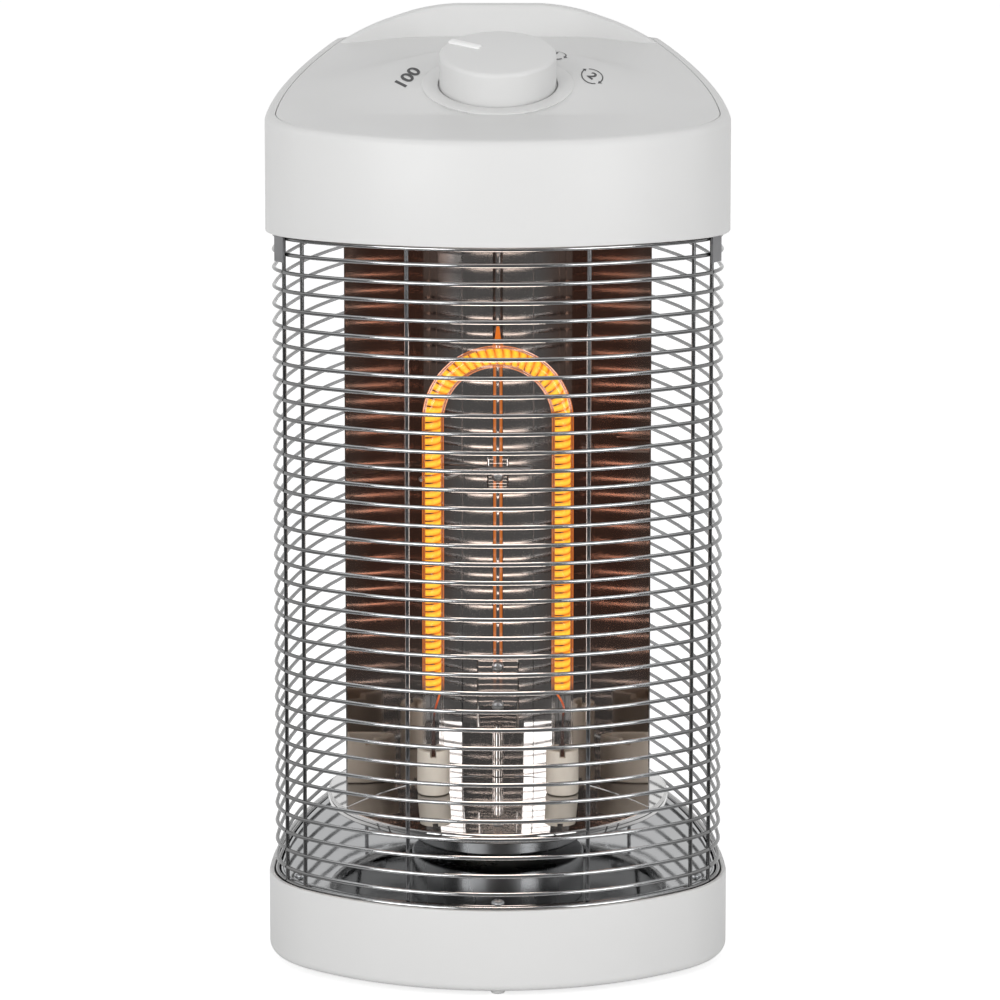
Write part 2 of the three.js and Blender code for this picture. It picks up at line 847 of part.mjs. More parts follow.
function makeKnob() {
  const bottom = -dialWell + knobFloat;
  const top = bottom + knobHeight;
  const body = turned([
    [0, bottom],
    [knobRadius, bottom],
    [knobRadius, top - knobEdge],
    [knobRadius - knobEdge, top],
    [0, top + knobDome],
  ], discSides);
  const pointer = centredBlock(
    pointerLength,
    pointerWidth,
    top - pointerHeight,
    top + pointerHeight,
    knobRadius - knobEdge - pointerLength / 2,
  ).rotateZ(pointerAngle);
  const shaftTop = shaftLength - shaftSink + ceilingOfSwitch();
  const socket = cylinder(shaftRadius + runGap, bottom - overrun, shaftTop + seatGap, 0, 0, smallSides);
  place('knob', cut(join(body, pointer), socket), whitePlastic(), dial);

  const switchTop = ceilingOfSwitch();
  const shaft = cylinder(shaftRadius, switchTop - shaftSink, shaftTop, 0, 0, smallSides);
  place('switch_shaft', shaft, plainSteel(), dial);
  const housing = centredBlock(switchWidth, switchWidth, switchTop - switchHeight, switchTop);
  const boreBottom = switchTop - shaftSink - seatGap;
  const bore = cylinder(shaftRadius + runGap, boreBottom, switchTop + overrun, 0, 0, smallSides);
  place('rotary_switch', cut(housing, bore), darkPlastic(), dial);
}

// Top of the switch, under the dial boss, in the dial's own frame
function ceilingOfSwitch() {
  return -dialWell - dialWall - seatGap;
}

// Outline of one involute tooth about the +X axis, from its lower root to its upper root
function toothPoints(teeth) {
  const pitchRadius = gearModule * teeth / 2;
  const baseRadius = pitchRadius * Math.cos(pressureAngle);
  const root = pitchRadius - dedendumShare * gearModule;
  const tip = pitchRadius + addendumShare * gearModule;
  const involute = (radius) => {
    const angle = Math.acos(Math.min(baseRadius / radius, 1));
    return Math.tan(angle) - angle;
  };
  const halfPitch = (Math.PI * gearModule / 2 - backlash) / 2 / pitchRadius + involute(pitchRadius);
  const halfAngle = (radius) => halfPitch - involute(Math.max(radius, baseRadius));
  const radii = [root, baseRadius, tip].filter((radius) => radius >= root);
  const lower = radii.map((radius) => [radius, -halfAngle(radius)]);
  const upper = radii.slice().reverse().map((radius) => [radius, halfAngle(radius)]);
  return [...lower, ...upper];
}

const polar = (radius, angle) => new THREE.Vector2(radius * Math.cos(angle), radius * Math.sin(angle));

function toothArc(teeth, centres) {
  const tooth = toothPoints(teeth);
  return centres.flatMap((centre) => tooth.map(([radius, angle]) => polar(radius, centre + angle)));
}

function makeDrive() {
  const pitch = 2 * Math.PI / gearTeeth;
  const middle = Math.PI / 2;
  const centres = Array.from({ length: sectorTeeth }, (_, i) => middle + (i - (sectorTeeth - 1) / 2) * pitch);
  const web = [new THREE.Vector2(0, 0), ...toothArc(gearTeeth, centres)];
  const bottom = gearBottom - discTop;
  const sector = prism(web, bottom, bottom + gearWidth);
  const hub = cylinder(gearHub, bottom, bottom + gearWidth);
  const bore = cylinder(spindleRadius + runGap, bottom - overrun, bottom + gearWidth + overrun);
  place('sector_gear', cut(join(sector, hub), bore), gearPlastic(), turntable);

  const pinionPitch = 2 * Math.PI / pinionTeeth;
  const pinionCentres = Array.from({ length: pinionTeeth }, (_, i) => i * pinionPitch - middle);
  const teeth = prism(toothArc(pinionTeeth, pinionCentres), gearBottom, gearBottom + gearWidth);
  const shaft = cylinder(motorShaft, motorTop - motorShaftSink, gearBottom + overrun, 0, 0, smallSides);
  const pinion = place('motor_pinion', join(teeth, shaft), gearPlastic());
  pinion.position.set(0, pinionY, 0);

  const can = cylinder(motorRadius, motorTop - motorHeight, motorTop, 0, pinionY);
  const ears = centredBlock(motorEarSpan, motorEarWidth, motorTop - motorEarThickness, motorTop, 0, pinionY);
  const boreBottom = motorTop - motorShaftSink - seatGap;
  const shaftBore = cylinder(motorShaft + runGap, boreBottom, motorTop + overrun, 0, pinionY, smallSides);
  const screwHoles = [-motorScrewSpread, motorScrewSpread].map((x) => (
    cylinder(screwShank + seatGap, motorTop - motorHeight / 2, motorTop + overrun, x, pinionY, smallSides)
  ));
  place('oscillation_motor', cut(join(can, ears), shaftBore, ...screwHoles), plainSteel());
  ['left', 'right'].forEach((name, i) => {
    const x = i ? motorScrewSpread : -motorScrewSpread;
    place(`motor_screw_${name}`, screw().translate(x, pinionY, motorTop + seatGap), plainSteel());
  });
}

function makeTipSwitch() {
  const bore = plungerRadius + runGap;
  const bottom = floorTop + seatGap;
  const top = bottom + tipBodyHeight;
  const body = centredBlock(tipBodyWidth, tipBodyDepth, bottom, top, 0, plungerY);
  const chamber = cylinder(bore, bottom - overrun, top - tipRoof, 0, plungerY);
  place('tip_switch_body', cut(body, chamber), darkPlastic());
  const stemTop = top - tipRoof - plungerTravel;
  const plunger = turned([
    [0, 0],
    [plungerRadius, 0],
    [plungerRadius, plungerCollar],
    [plungerStem, plungerCollar],
    [plungerStem, stemTop],
    [0, stemTop],
  ], smallSides).translate(0, plungerY, 0);
  place('tip_plunger', plunger, whitePlastic());
  const spring = turnedRing([
    [plungerStem + seatGap, plungerCollar + seatGap],
    [plungerRadius, plungerCollar + seatGap],
    [plungerRadius, top - tipRoof - seatGap],
    [plungerStem + seatGap, top - tipRoof - seatGap],
  ], smallSides).translate(0, plungerY, 0);
  place('tip_spring', spring, plainSteel());
}

// Rings of a round tube along the points, each turned as little as possible from the one before it
function sweepRings(centres, radius, sides, start = new THREE.Vector3(1, 0, 0)) {
  let normal = start;
  return centres.map((centre, i) => {
    const before = centres[Math.max(i - 1, 0)];
    const after = centres[Math.min(i + 1, centres.length - 1)];
    const tangent = after.clone().sub(before).normalize();
    normal = normal.clone().addScaledVector(tangent, -normal.dot(tangent)).normalize();
    const second = new THREE.Vector3().crossVectors(tangent, normal);
    return Array.from({ length: sides }, (_, k) => {
      const { x, y } = polar(radius, 2 * Math.PI * k / sides);
      return centre.clone().addScaledVector(normal, x).addScaledVector(second, y);
    });
  });
}

// Skin over rings of points: closed joins the last ring to the first, otherwise both ends are capped
function skin(rings, closed = false) {
  const sides = rings[0].length;
  const faces = [];
  const bands = closed ? rings.length : rings.length - 1;
  for (let ring = 0; ring < bands; ring += 1) {
    const next = (ring + 1) % rings.length;
    for (let k = 0; k < sides; k += 1) {
      const turn = (k + 1) % sides;
      faces.push([ring * sides + k, ring * sides + turn, next * sides + turn, next * sides + k]);
    }
  }
  if (!closed) {
    const last = (rings.length - 1) * sides;
    for (let k = 1; k < sides - 1; k += 1) {
      faces.push([0, k + 1, k], [last, last + k, last + k + 1]);
    }
  }
  return faceted(rings.flat(), faces);
}

// Points of an arc in the plane of two directions, from along to across
function bend(centre, radius, along, across, sweep, steps) {
  return Array.from({ length: steps + 1 }, (_, i) => {
    const { x, y } = polar(radius, sweep * i / steps);
    return centre.clone().addScaledVector(along, x).addScaledVector(across, y);
  });
}

function makeSupply() {
  const bottom = floorTop + seatGap;
  const top = bottom + terminalHeight;
  const block = centredBlock(terminalWidth, terminalDepth, bottom, top, 0, columnY);
  place('terminal_block', block, darkPlastic());
  const inner = -lowerWall - seatGap;
  const gland = turnedRing([
    [glandBore, inner - glandFlangeWidth],
    [glandFlange, inner - glandFlangeWidth],
    [glandFlange, inner],
    [glandRadius, inner],
    [glandRadius, 0],
    [glandBore, 0],
  ], capSides).rotateX(-Math.PI / 2).translate(glandSide, bodyRear, glandHeight);
  place('cord_gland', gland, darkPlastic());

  const switchEnd = new THREE.Vector3(0, 0, ceilingOfSwitch() - switchHeight - seatGap);
  const approach = switchEnd.clone().setZ(switchEnd.z - harnessBend);
  dial.updateMatrix();
  [switchEnd, approach].forEach((p) => p.applyMatrix4(dial.matrix));
  const forward = new THREE.Vector3(0, -1, 0);
  const up = new THREE.Vector3(0, 0, 1);
  const level = shieldTop + harnessRise;
  const rise = new THREE.Vector3(0, columnY - harnessBend, level - harnessBend);
  const route = [
    new THREE.Vector3(0, columnY, top + seatGap),
    ...bend(rise, harnessBend, forward.clone().negate(), up, Math.PI / 2, bendSteps),
    new THREE.Vector3(0, approach.y + harnessBend, level),
    approach,
    switchEnd,
  ];
  place('wire_harness', skin(sweepRings(route, harnessRadius, cableSides)), darkPlastic());
}

function makeTurntable() {
  const disc = turned([
    [0, -discThickness],
    [discRadius - rimWidth, -discThickness],
    [discRadius - rimWidth, -rimDepth],
    [discRadius, -rimDepth],
    [discRadius, -rimRound],
    [discRadius - rimRound, 0],
    [0, 0],
  ], discSides);
  place('turntable_disc', disc, mirrorSteel(), turntable);

  const drumTop = -discThickness - seatGap;
  const bottom = drumTop - drumHeight;
  const drum = turnedRing([
    [spindleBore, bottom - spindleDrop],
    [spindleRadius, bottom - spindleDrop],
    [spindleRadius, bottom],
    [drumRadius, bottom],
    [drumRadius, drumTop],
    [drumRadius - drumWall, drumTop],
    [drumRadius - drumWall, bottom + drumWall],
    [spindleBore, bottom + drumWall],
  ]);
  place('spindle_drum', drum, mirrorSteel(), turntable);

  const ringTop = gearBottom - seatGap - discTop;
  const ring = turnedRing([
    [spindleRadius + runGap, ringTop - clipRingHeight],
    [clipRingRadius, ringTop - clipRingHeight],
    [clipRingRadius, ringTop],
    [spindleRadius + runGap, ringTop],
  ]);
  place('spindle_clip', ring, plainSteel(), turntable);

  const bush = turnedRing([
    [spindleRadius + runGap, deckTop - bushLength],
    [bushRadius, deckTop - bushLength],
    [bushRadius, deckTop + seatGap],
    [bushFlange, deckTop + seatGap],
    [bushFlange, drumBottom - seatGap],
    [spindleRadius + runGap, drumBottom - seatGap],
  ]).translate(0, spindleY, 0);
  place('spindle_bush', bush, gearPlastic());
}

// Front face of the reflector at x, in plan
function reflectorFace(x) {
  return reflectorBack - reflectorDepth * (Math.abs(x) / reflectorHalf) ** reflectorPower;
}

function reflectorPlan() {
  const front = [];
  const back = [];
  for (let i = -profileSteps; i <= profileSteps; i += 1) {
    const x = reflectorHalf * i / profileSteps;
    const step = reflectorHalf / profileSteps;
    const slope = (reflectorFace(x + step / 2) - reflectorFace(x - step / 2)) / step;
    const normal = new THREE.Vector2(-slope, 1).normalize().multiplyScalar(reflectorSheet);
    const point = new THREE.Vector2(x, reflectorFace(x));
    front.push(point);
    back.push(point.clone().add(normal));
  }
  return [...front, ...back.reverse()];
}

function makeReflector() {
  const sheet = prism(reflectorPlan(), seatGap, seatGap + reflectorHeight);
  const face = reflectorFace(0);
  const front = (depth, width, bottom, height) => (
    block(-width / 2, width / 2, face - depth, face + reflectorSheet / 2, bottom, bottom + height)
  );
  const pad = front(padThickness, padWidth, padBottom, padHeight);
  const eyePad = front(eyePadThickness, eyePadWidth, eyeScrewHeight - eyePadHeight / 2, eyePadHeight);
  const bead = (bottom, top) => cylinder(beadRadius, bottom, top, 0, face, lampSides);
  const rearY = face + reflectorSheet / 2 + padWidth / 2;
  const behind = centredBlock(padWidth, padWidth, -overrun, reflectorHeight + overrun, 0, rearY);
  const beads = [
    bead(seatGap, padBottom + overrun),
    bead(padBottom + padHeight - overrun, eyeScrewHeight - eyePadHeight / 2 + overrun),
    bead(eyeScrewHeight + eyePadHeight / 2 - overrun, seatGap + reflectorHeight),
  ].map((part) => cut(part, behind));
  const heights = [lowerScrewHeight, upperScrewHeight, eyeScrewHeight];
  const holes = heights.map((z) => (
    cylinder(screwShank + seatGap, -padWidth, padWidth, 0, 0, smallSides)
      .rotateX(Math.PI / 2)
      .translate(0, face, z)
  ));
  place('reflector', cut(join(sheet, pad, eyePad, ...beads), ...holes), mirrorSteel(), turntable);

  const rear = face + reflectorSheet + seatGap;
  const half = bracketWidth / 2;
  const strip = block(-half, half, rear, rear + bracketThickness, seatGap, bracketHeight);
  const foot = block(-half, half, rear, rear + bracketFoot, seatGap, seatGap + bracketThickness);
  place('reflector_bracket', cut(join(strip, foot), ...holes), plainSteel(), turntable);

  const names = ['pad_screw_lower', 'pad_screw_upper', 'support_screw'];
  const depths = [padThickness, padThickness, eyePadThickness];
  names.forEach((name, i) => {
    const head = face - depths[i] - seatGap;
    place(name, screw().rotateX(Math.PI / 2).translate(0, head, heights[i]), plainSteel(), turntable);
  });
}

// Centre line of the U-shaped lamp from the bottom of its left leg, over the arch and down the right
function lampLine(bottom) {
  const archCentre = new THREE.Vector3(0, -lampForward, lampTop - lampTubeRadius - lampSpread);
  const left = new THREE.Vector3(-lampSpread, -lampForward, bottom);
  const right = new THREE.Vector3(lampSpread, -lampForward, bottom);
  const toLeft = new THREE.Vector3(-1, 0, 0);
  const up = new THREE.Vector3(0, 0, 1);
  return [left, ...bend(archCentre, lampSpread, toLeft, up, Math.PI, archSteps), right];
}

function makeLampTube() {
  const line = lampLine(seatGap + capHeight - capSocket + seatGap);
  const outer = sweepRings(line, lampTubeRadius, lampSides);
  const inner = sweepRings(line, lampTubeRadius - lampTubeWall, lampSides);
  const tip = turned([
    [0, lampTop - lampTubeWall],
    [lampTipRadius, lampTop - lampTubeWall],
    [0, lampTop + lampTip],
  ], lampSides).translate(0, -lampForward, 0);
  place('lamp_tube', join(skin([...outer, ...inner.reverse()], true), tip), quartz(), turntable);
}

// Carbon coil: a straight lead, the curls round the lamp's centre line, and a straight lead back
function makeFilament() {
  const archCentre = new THREE.Vector3(0, -lampForward, lampTop - lampTubeRadius - lampSpread);
  const leg = archCentre.z - glowBottom;
  const arch = Math.PI * lampSpread;
  const curls = Math.min(Math.floor((2 * leg + arch) / curlPitch), mostCurls);
  const steps = curls * curlSteps;
  const forward = new THREE.Vector3(0, -1, 0);
  const leadEnd = seatGap + capHeight - capSocket + 2 * seatGap;
  const centres = [new THREE.Vector3(-lampSpread, -lampForward, leadEnd)];
  for (let i = 0; i <= steps; i += 1) {
    const run = (2 * leg + arch) * i / steps - leg;
    const turn = Math.PI * THREE.MathUtils.clamp(run / arch, 0, 1);
    const outwards = new THREE.Vector3(-Math.cos(turn), 0, Math.sin(turn));
    const drop = Math.max(-run, run - arch, 0);
    const swell = curlRadius * Math.min(i, steps - i, curlSteps) / curlSteps;
    const { x, y } = polar(swell, 2 * Math.PI * i / curlSteps);
    centres.push(archCentre.clone()
      .addScaledVector(outwards, lampSpread + x)
      .addScaledVector(forward, y)
      .setZ(archCentre.z + outwards.z * (lampSpread + x) - drop));
  }
  centres.push(new THREE.Vector3(lampSpread, -lampForward, leadEnd));
  place('lamp_filament', skin(sweepRings(centres, curlWire, curlSides)), glowingCarbon(), turntable);

  // Least gap between points of the coil that are more than half a curl apart along it
  const apart = Math.ceil(curlSteps / 2) + 1;
  let least = Infinity;
  centres.forEach((a, i) => {
    centres.slice(i + apart).forEach((b) => {
      least = Math.min(least, a.distanceTo(b) - 2 * curlWire);
    });
  });
  console.log(`lamp_filament: ${curls} curls, least gap to itself ${least.toFixed(2)} mm`);
}

function makeLampCaps() {
  const top = seatGap + capHeight;
  ['left', 'right'].forEach((name, i) => {
    const x = i ? lampSpread : -lampSpread;
    const body = turned([
      [0, seatGap],
      [capRadius - rimRound, seatGap],
      [capRadius, seatGap + rimRound],
      [capRadius, top],
      [0, top],
    ], capSides);
    const socket = cylinder(lampTubeRadius + runGap, top - capSocket, top + overrun, 0, 0, capSides);
    const slot = (width, depth) => centredBlock(width, depth, top - capSlotDepth, top + overrun);
    const span = 2 * capRadius + overrun;
    const cap = cut(body, socket, slot(span, capSlotWidth), slot(capSlotWidth, span));
    place(`lamp_cap_${name}`, cap.translate(x, -lampForward, 0), ceramic(), turntable);
  });
}

// Wire from the reflector's middle to an open hook round the left leg of the lamp
function makeLampSupport() {
  const z = eyeScrewHeight + supportRise;
  const y = reflectorFace(supportTail) - supportWire - runGap;
  const leg = new THREE.Vector3(-lampSpread, -lampForward, z);
  const right = new THREE.Vector3(1, 0, 0);
  const back = new THREE.Vector3(0, 1, 0);
  const hook = bend(leg, lampTubeRadius + supportWire + guardGap, right, back, hookSweep, hookSteps);
  const line = [
    new THREE.Vector3(supportTail, y, z),
    new THREE.Vector3(-supportBend, y, z),
    ...hook,
  ];
  place('lamp_support', skin(sweepRings(line, supportWire, cableSides, back)), plainSteel(), turntable);
}

makeBase();
makeDeck();
makeGuard();
makeGuardWires();
makeGuardClips();
makeColumn();
makeTop();
makeLid();
makeKnob();
makeDrive();
makeTipSwitch();
makeSupply();
makeTurntable();
makeReflector();
makeLampTube();
makeFilament();
makeLampCaps();
makeLampSupport();

export default model;
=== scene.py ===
import bpy
import bmesh
import math
from mathutils import Matrix, Vector


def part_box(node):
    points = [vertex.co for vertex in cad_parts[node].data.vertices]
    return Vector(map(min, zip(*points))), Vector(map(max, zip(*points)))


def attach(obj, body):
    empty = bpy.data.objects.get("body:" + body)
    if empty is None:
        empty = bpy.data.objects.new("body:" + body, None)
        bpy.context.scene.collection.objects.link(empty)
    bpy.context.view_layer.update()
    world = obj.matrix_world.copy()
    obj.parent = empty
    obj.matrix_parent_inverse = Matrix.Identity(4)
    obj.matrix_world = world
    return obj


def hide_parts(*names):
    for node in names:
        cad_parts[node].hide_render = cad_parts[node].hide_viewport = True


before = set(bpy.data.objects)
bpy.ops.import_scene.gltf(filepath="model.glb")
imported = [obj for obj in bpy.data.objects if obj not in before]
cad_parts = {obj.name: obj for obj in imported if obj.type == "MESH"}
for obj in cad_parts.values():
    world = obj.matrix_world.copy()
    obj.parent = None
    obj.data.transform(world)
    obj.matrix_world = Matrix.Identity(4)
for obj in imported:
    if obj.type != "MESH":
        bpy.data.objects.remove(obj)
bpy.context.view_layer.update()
mm = 0.001
near = 1e-6  # lengths below this count as none

# Camera, fitted to the photograph
lens = {"length": 126.0, "place": (0, -1.7656, 0.57256), "pitch": 5.949, "shift": (0.00214, -0.32706)}
cameraData = bpy.data.cameras.new("studioCamera")
cameraData.lens = lens["length"]
cameraData.shift_x, cameraData.shift_y = lens["shift"]
camera = bpy.data.objects.new("studioCamera", cameraData)
camera.location = lens["place"]
camera.rotation_euler = (math.radians(90 - lens["pitch"]), 0, 0)
bpy.context.scene.collection.objects.link(camera)
bpy.context.scene.camera = camera
print("camera placed")


# One socket of a node tree, with arithmetic on it
class Signal:
    def __init__(self, tree, socket):
        self.tree = tree
        self.socket = socket

    @classmethod
    def node(cls, tree, kind, settings=None, sockets=None, output=0):
        made = tree.nodes.new(kind)
        for key, value in (settings or {}).items():
            if key != "stops":
                setattr(made, key, value)
                continue
            ramp = made.color_ramp.elements
            ramp[0].position, ramp[0].color = value[0]
            ramp[1].position, ramp[1].color = value[-1]
            for place, colour in value[1:-1]:
                ramp.new(place).color = colour
        for key, value in (sockets or {}).items():
            if isinstance(value, Signal):
                tree.links.new(value.socket, made.inputs[key])
            else:
                made.inputs[key].default_value = value
        return cls(tree, made.outputs[output])

    def math(self, operation, *values):
        return Signal.node(self.tree, "ShaderNodeMath", {"operation": operation}, dict(enumerate(values)))

    def __add__(self, other):
        return self.math("ADD", self, other)

    def __rsub__(self, other):
        return self.math("SUBTRACT", other, self)

    def __mul__(self, other):
        return self.math("MULTIPLY", self, other)

    def spread(self, low, high, toLow=0.0, toHigh=1.0):  # smooth step from one range to another
        sockets = {"Value": self, "From Min": low, "From Max": high, "To Min": toLow, "To Max": toHigh}
        return Signal.node(self.tree, "ShaderNodeMapRange", {"interpolation_type": "SMOOTHSTEP"}, sockets)


def axisOf(tree, axis, source="Object"):
    coordinates = Signal.node(tree, "ShaderNodeTexCoord", output=source)
    return Signal.node(tree, "ShaderNodeSeparateXYZ", None, {0: coordinates}, axis)


# Distance from the plane of symmetry
def sideOf(tree):
    x = axisOf(tree, "X")
    return x.math("ABSOLUTE", x)


def noise(tree, scale, detail=2.0, stretch=(1, 1, 1)):
    coordinates = Signal.node(tree, "ShaderNodeTexCoord", output="Object")
    mapped = Signal.node(tree, "ShaderNodeMapping", None, {"Vector": coordinates, "Scale": stretch})
    return Signal.node(tree, "ShaderNodeTexNoise", None, {"Vector": mapped, "Scale": scale, "Detail": detail})


# Mix of two colours, each of them fixed or a signal; sockets 6 and 7 and output 2 are the node's colour ones
def blendOf(tree, factor, low, high):
    low, high = (colour if isinstance(colour, Signal) else (*colour, 1) for colour in (low, high))
    return Signal.node(tree, "ShaderNodeMix", {"data_type": "RGBA"}, {0: factor, 6: low, 7: high}, 2)


def bumpOf(tree, height, distance):
    return Signal.node(tree, "ShaderNodeBump", None, {"Height": height, "Distance": distance, "Strength": 1.0})


def surface(name, constants, recipe):
    material = bpy.data.materials.new(name)
    material.use_nodes = True
    tree = material.node_tree
    shader = tree.nodes["Principled BSDF"]
    for socket, value in constants.items():
        shader.inputs[socket].default_value = value
    for socket, signal in recipe(tree).items():
        tree.links.new(signal.socket, shader.inputs[socket])
    return material


# Two colours mottled together, a roughness range and a fine bump: the ground of most finishes
def mottled(low, high, rough, scale, bump, grain, stretch=(1, 1, 1)):
    def recipe(tree):
        return {
            "Base Color": blendOf(tree, noise(tree, scale, 3.0, stretch), low, high),
            "Roughness": noise(tree, scale * 2.3, 4.0, stretch).spread(0.3, 0.7, *rough),
            "Normal": bumpOf(tree, noise(tree, grain, 3.0, stretch), bump),
        }
    return recipe


drawnLines = {"scale": 900, "stretch": (1, 1, 0.02), "height": 0.000004}


# Polished sheet: soft waves that bend its reflections, and fine drawn lines
def polished(low, high, rough, waves, waveHeight, stretch):
    def recipe(tree):
        wave = noise(tree, waves, 1.0, stretch) * waveHeight
        lines = noise(tree, drawnLines["scale"], 2.0, drawnLines["stretch"]) * drawnLines["height"]
        return {
            "Base Color": blendOf(tree, noise(tree, 16, 4.0, stretch), low, high),
            "Roughness": noise(tree, 40, 4.0, stretch).spread(0.3, 0.75, *rough),
            "Normal": bumpOf(tree, wave + lines, 1.0),
        }
    return recipe


materials = {
    "white": surface("whitePlastic", {"IOR": 1.5, "Coat Roughness": 0.2, "Coat Weight": 0.05}, mottled(
        (0.715, 0.715, 0.71), (0.745, 0.745, 0.74), (0.42, 0.5), 9, 0.00003, 1400)),
    # Pointer ridge: a lighter copy of the white plastic, a painted highlight
    "paintedHighlightWhite": surface("paintedHighlightPlastic", {"IOR": 1.5}, mottled(
        (0.88, 0.88, 0.875), (0.92, 0.92, 0.915), (0.3, 0.38), 40, 0.00002, 1400)),
    "mirror": surface("mirrorSteel", {"Metallic": 1.0}, polished(
        (0.56, 0.555, 0.55), (0.64, 0.635, 0.63), (0.03, 0.07), 14, 0.0002, (1, 1, 0.5))),
    "deckMirror": surface("deckMirror", {"Metallic": 1.0}, polished(
        (0.27, 0.275, 0.28), (0.36, 0.365, 0.37), (0.03, 0.07), 14, 0.0002, (1, 1, 0.5))),
    "satin": surface("satinSteel", {"Metallic": 1.0}, mottled(
        (0.33, 0.335, 0.34), (0.4, 0.4, 0.405), (0.2, 0.34), 30, 0.00001, 1800, (1, 1, 0.1))),
    # Guard uprights: a darker copy of the chrome wire, painted shade
    "upright": surface("uprightWire", {"Metallic": 1.0}, mottled(
        (0.16, 0.16, 0.165), (0.3, 0.3, 0.31), (0.14, 0.26), 60, 0.00001, 2500, (1, 1, 0.4))),
    "darkSteel": surface("darkSteel", {"Metallic": 1.0}, mottled(
        (0.16, 0.16, 0.165), (0.24, 0.24, 0.245), (0.28, 0.42), 50, 0.00002, 1500)),
    "zinc": surface("zincPlate", {"Metallic": 1.0}, mottled(
        (0.42, 0.43, 0.44), (0.56, 0.57, 0.58), (0.3, 0.5), 90, 0.00002, 700)),
    "rubber": surface("blackRubber", {"Specular IOR Level": 0.3}, mottled(
        (0.018, 0.018, 0.018), (0.035, 0.035, 0.034), (0.7, 0.9), 70, 0.00008, 1200)),
    "gear": surface("gearPlastic", {}, mottled(
        (0.72, 0.68, 0.58), (0.8, 0.77, 0.68), (0.38, 0.52), 40, 0.00003, 1100)),
    "darkPlastic": surface("darkPlastic", {}, mottled(
        (0.014, 0.014, 0.016), (0.026, 0.026, 0.029), (0.45, 0.62), 60, 0.00004, 1300)),
    "ceramic": surface("ceramic", {"Subsurface Weight": 0.05, "Subsurface Radius": (0.002, 0.0015, 0.001)}, mottled(
        (0.76, 0.68, 0.58), (0.86, 0.8, 0.71), (0.5, 0.72), 120, 0.00006, 1600)),
    "ink": surface("dialInk", {}, mottled(
        (0.03, 0.03, 0.032), (0.06, 0.06, 0.062), (0.5, 0.62), 300, 0.00001, 2500)),
}

# Painted shade on the guard's wire: how far from the middle its base colour darkens, and to what colour
chrome = {"paintedShadeFrom": 60 * mm, "paintedShadeTo": 100 * mm, "paintedShadeColour": (0.2, 0.2, 0.2)}


# Bright wire, with painted shade: its base colour is darkened round the sides of the guard
def chromeRecipe(tree):
    sockets = mottled((0.60, 0.61, 0.62), (0.72, 0.725, 0.73), (0.1, 0.2), 60, 0.00001, 2500, (1, 1, 0.4))(tree)
    paintedShadeMask = sideOf(tree).spread(chrome["paintedShadeFrom"], chrome["paintedShadeTo"])
    return {**sockets, "Base Color": blendOf(tree, paintedShadeMask, sockets["Base Color"], chrome["paintedShadeColour"])}


materials["chrome"] = surface("chromeWire", {"Metallic": 1.0}, chromeRecipe)

# Painted reflection: a warm brown tint on the reflector's wings above the lamp's caps
paintedWingReflection = {"side": (18 * mm, 34 * mm), "height": (122 * mm, 150 * mm), "colour": (0.52, 0.36, 0.3)}
# Painted reflection: an orange glow along the flanks of the reflector's bead
paintedBeadReflection = {"rise": (0.6 * mm, 1.2 * mm), "fall": (2 * mm, 2.6 * mm), "low": (115 * mm, 150 * mm),
            "high": (295 * mm, 305 * mm), "colour": (0.62, 0.16, 0.02)}


# Reflector, with painted reflections of the lamp's glow: its wings' base colour tinted warm brown down to just above
# the lamp's caps, and a painted orange glow along the flanks of its bead
def reflectorRecipe(tree):
    sockets = polished((0.54, 0.50, 0.48), (0.66, 0.63, 0.61), (0.03, 0.07), 11, 0.00016, (1, 1, 0.25))(tree)
    side, height = sideOf(tree), axisOf(tree, "Z")
    paintedWingMask = side.spread(*paintedWingReflection["side"]) * height.spread(*paintedWingReflection["height"])
    paintedFlankMask = side.spread(*paintedBeadReflection["rise"]) * side.spread(*paintedBeadReflection["fall"], 1.0, 0.0)
    glow = paintedFlankMask * height.spread(*paintedBeadReflection["low"]) * height.spread(*paintedBeadReflection["high"], 1.0, 0.0)
    return {
        **sockets,
        "Base Color": blendOf(tree, paintedWingMask, sockets["Base Color"], paintedWingReflection["colour"]),
        "Emission Color": blendOf(tree, glow, (0, 0, 0), paintedBeadReflection["colour"]),
    }


materials["reflectorSteel"] = surface("reflectorSteel", {"Metallic": 1.0, "Emission Strength": 0.8}, reflectorRecipe)

# Painted glow in the quartz: its rims above the leads and its sealed tip
quartz = {"tip": (303.5 * mm, 306 * mm), "glow": (124 * mm, 132 * mm), "clear": (1, 0.985, 0.97),
          "sealed": (0.02, 0.01, 0.01), "warm": (0.8, 0.18, 0.012)}


# Quartz: see-through in the middle and bright at its rims, with the coil's light painted as a glow in them above the
# leads.
# Its sealed tip is solid, with a painted glow all over.
def quartzRecipe(tree):
    rim = Signal.node(tree, "ShaderNodeLayerWeight", None, {"Blend": 0.5}, "Facing")
    height = axisOf(tree, "Z")
    tip = height.spread(*quartz["tip"])
    glow = height.spread(*quartz["glow"]) * rim.spread(0.2, 0.7)
    wall = rim.spread(0.25, 0.95, 0.035, 0.7) * noise(tree, 70, 3.0).spread(0.2, 0.8, 0.9, 1.0)
    return {
        "Base Color": blendOf(tree, tip, quartz["clear"], quartz["sealed"]),
        "Emission Color": blendOf(tree, glow + tip, (0, 0, 0), quartz["warm"]),
        "Alpha": wall.math("MAXIMUM", wall, tip * 0.9),
        "Normal": bumpOf(tree, noise(tree, 45, 2.0), 0.00012),
    }


materials["quartz"] = surface("quartzTube", {
    "Metallic": 1.0, "Roughness": 0.04, "Emission Strength": 0.9,
}, quartzRecipe)


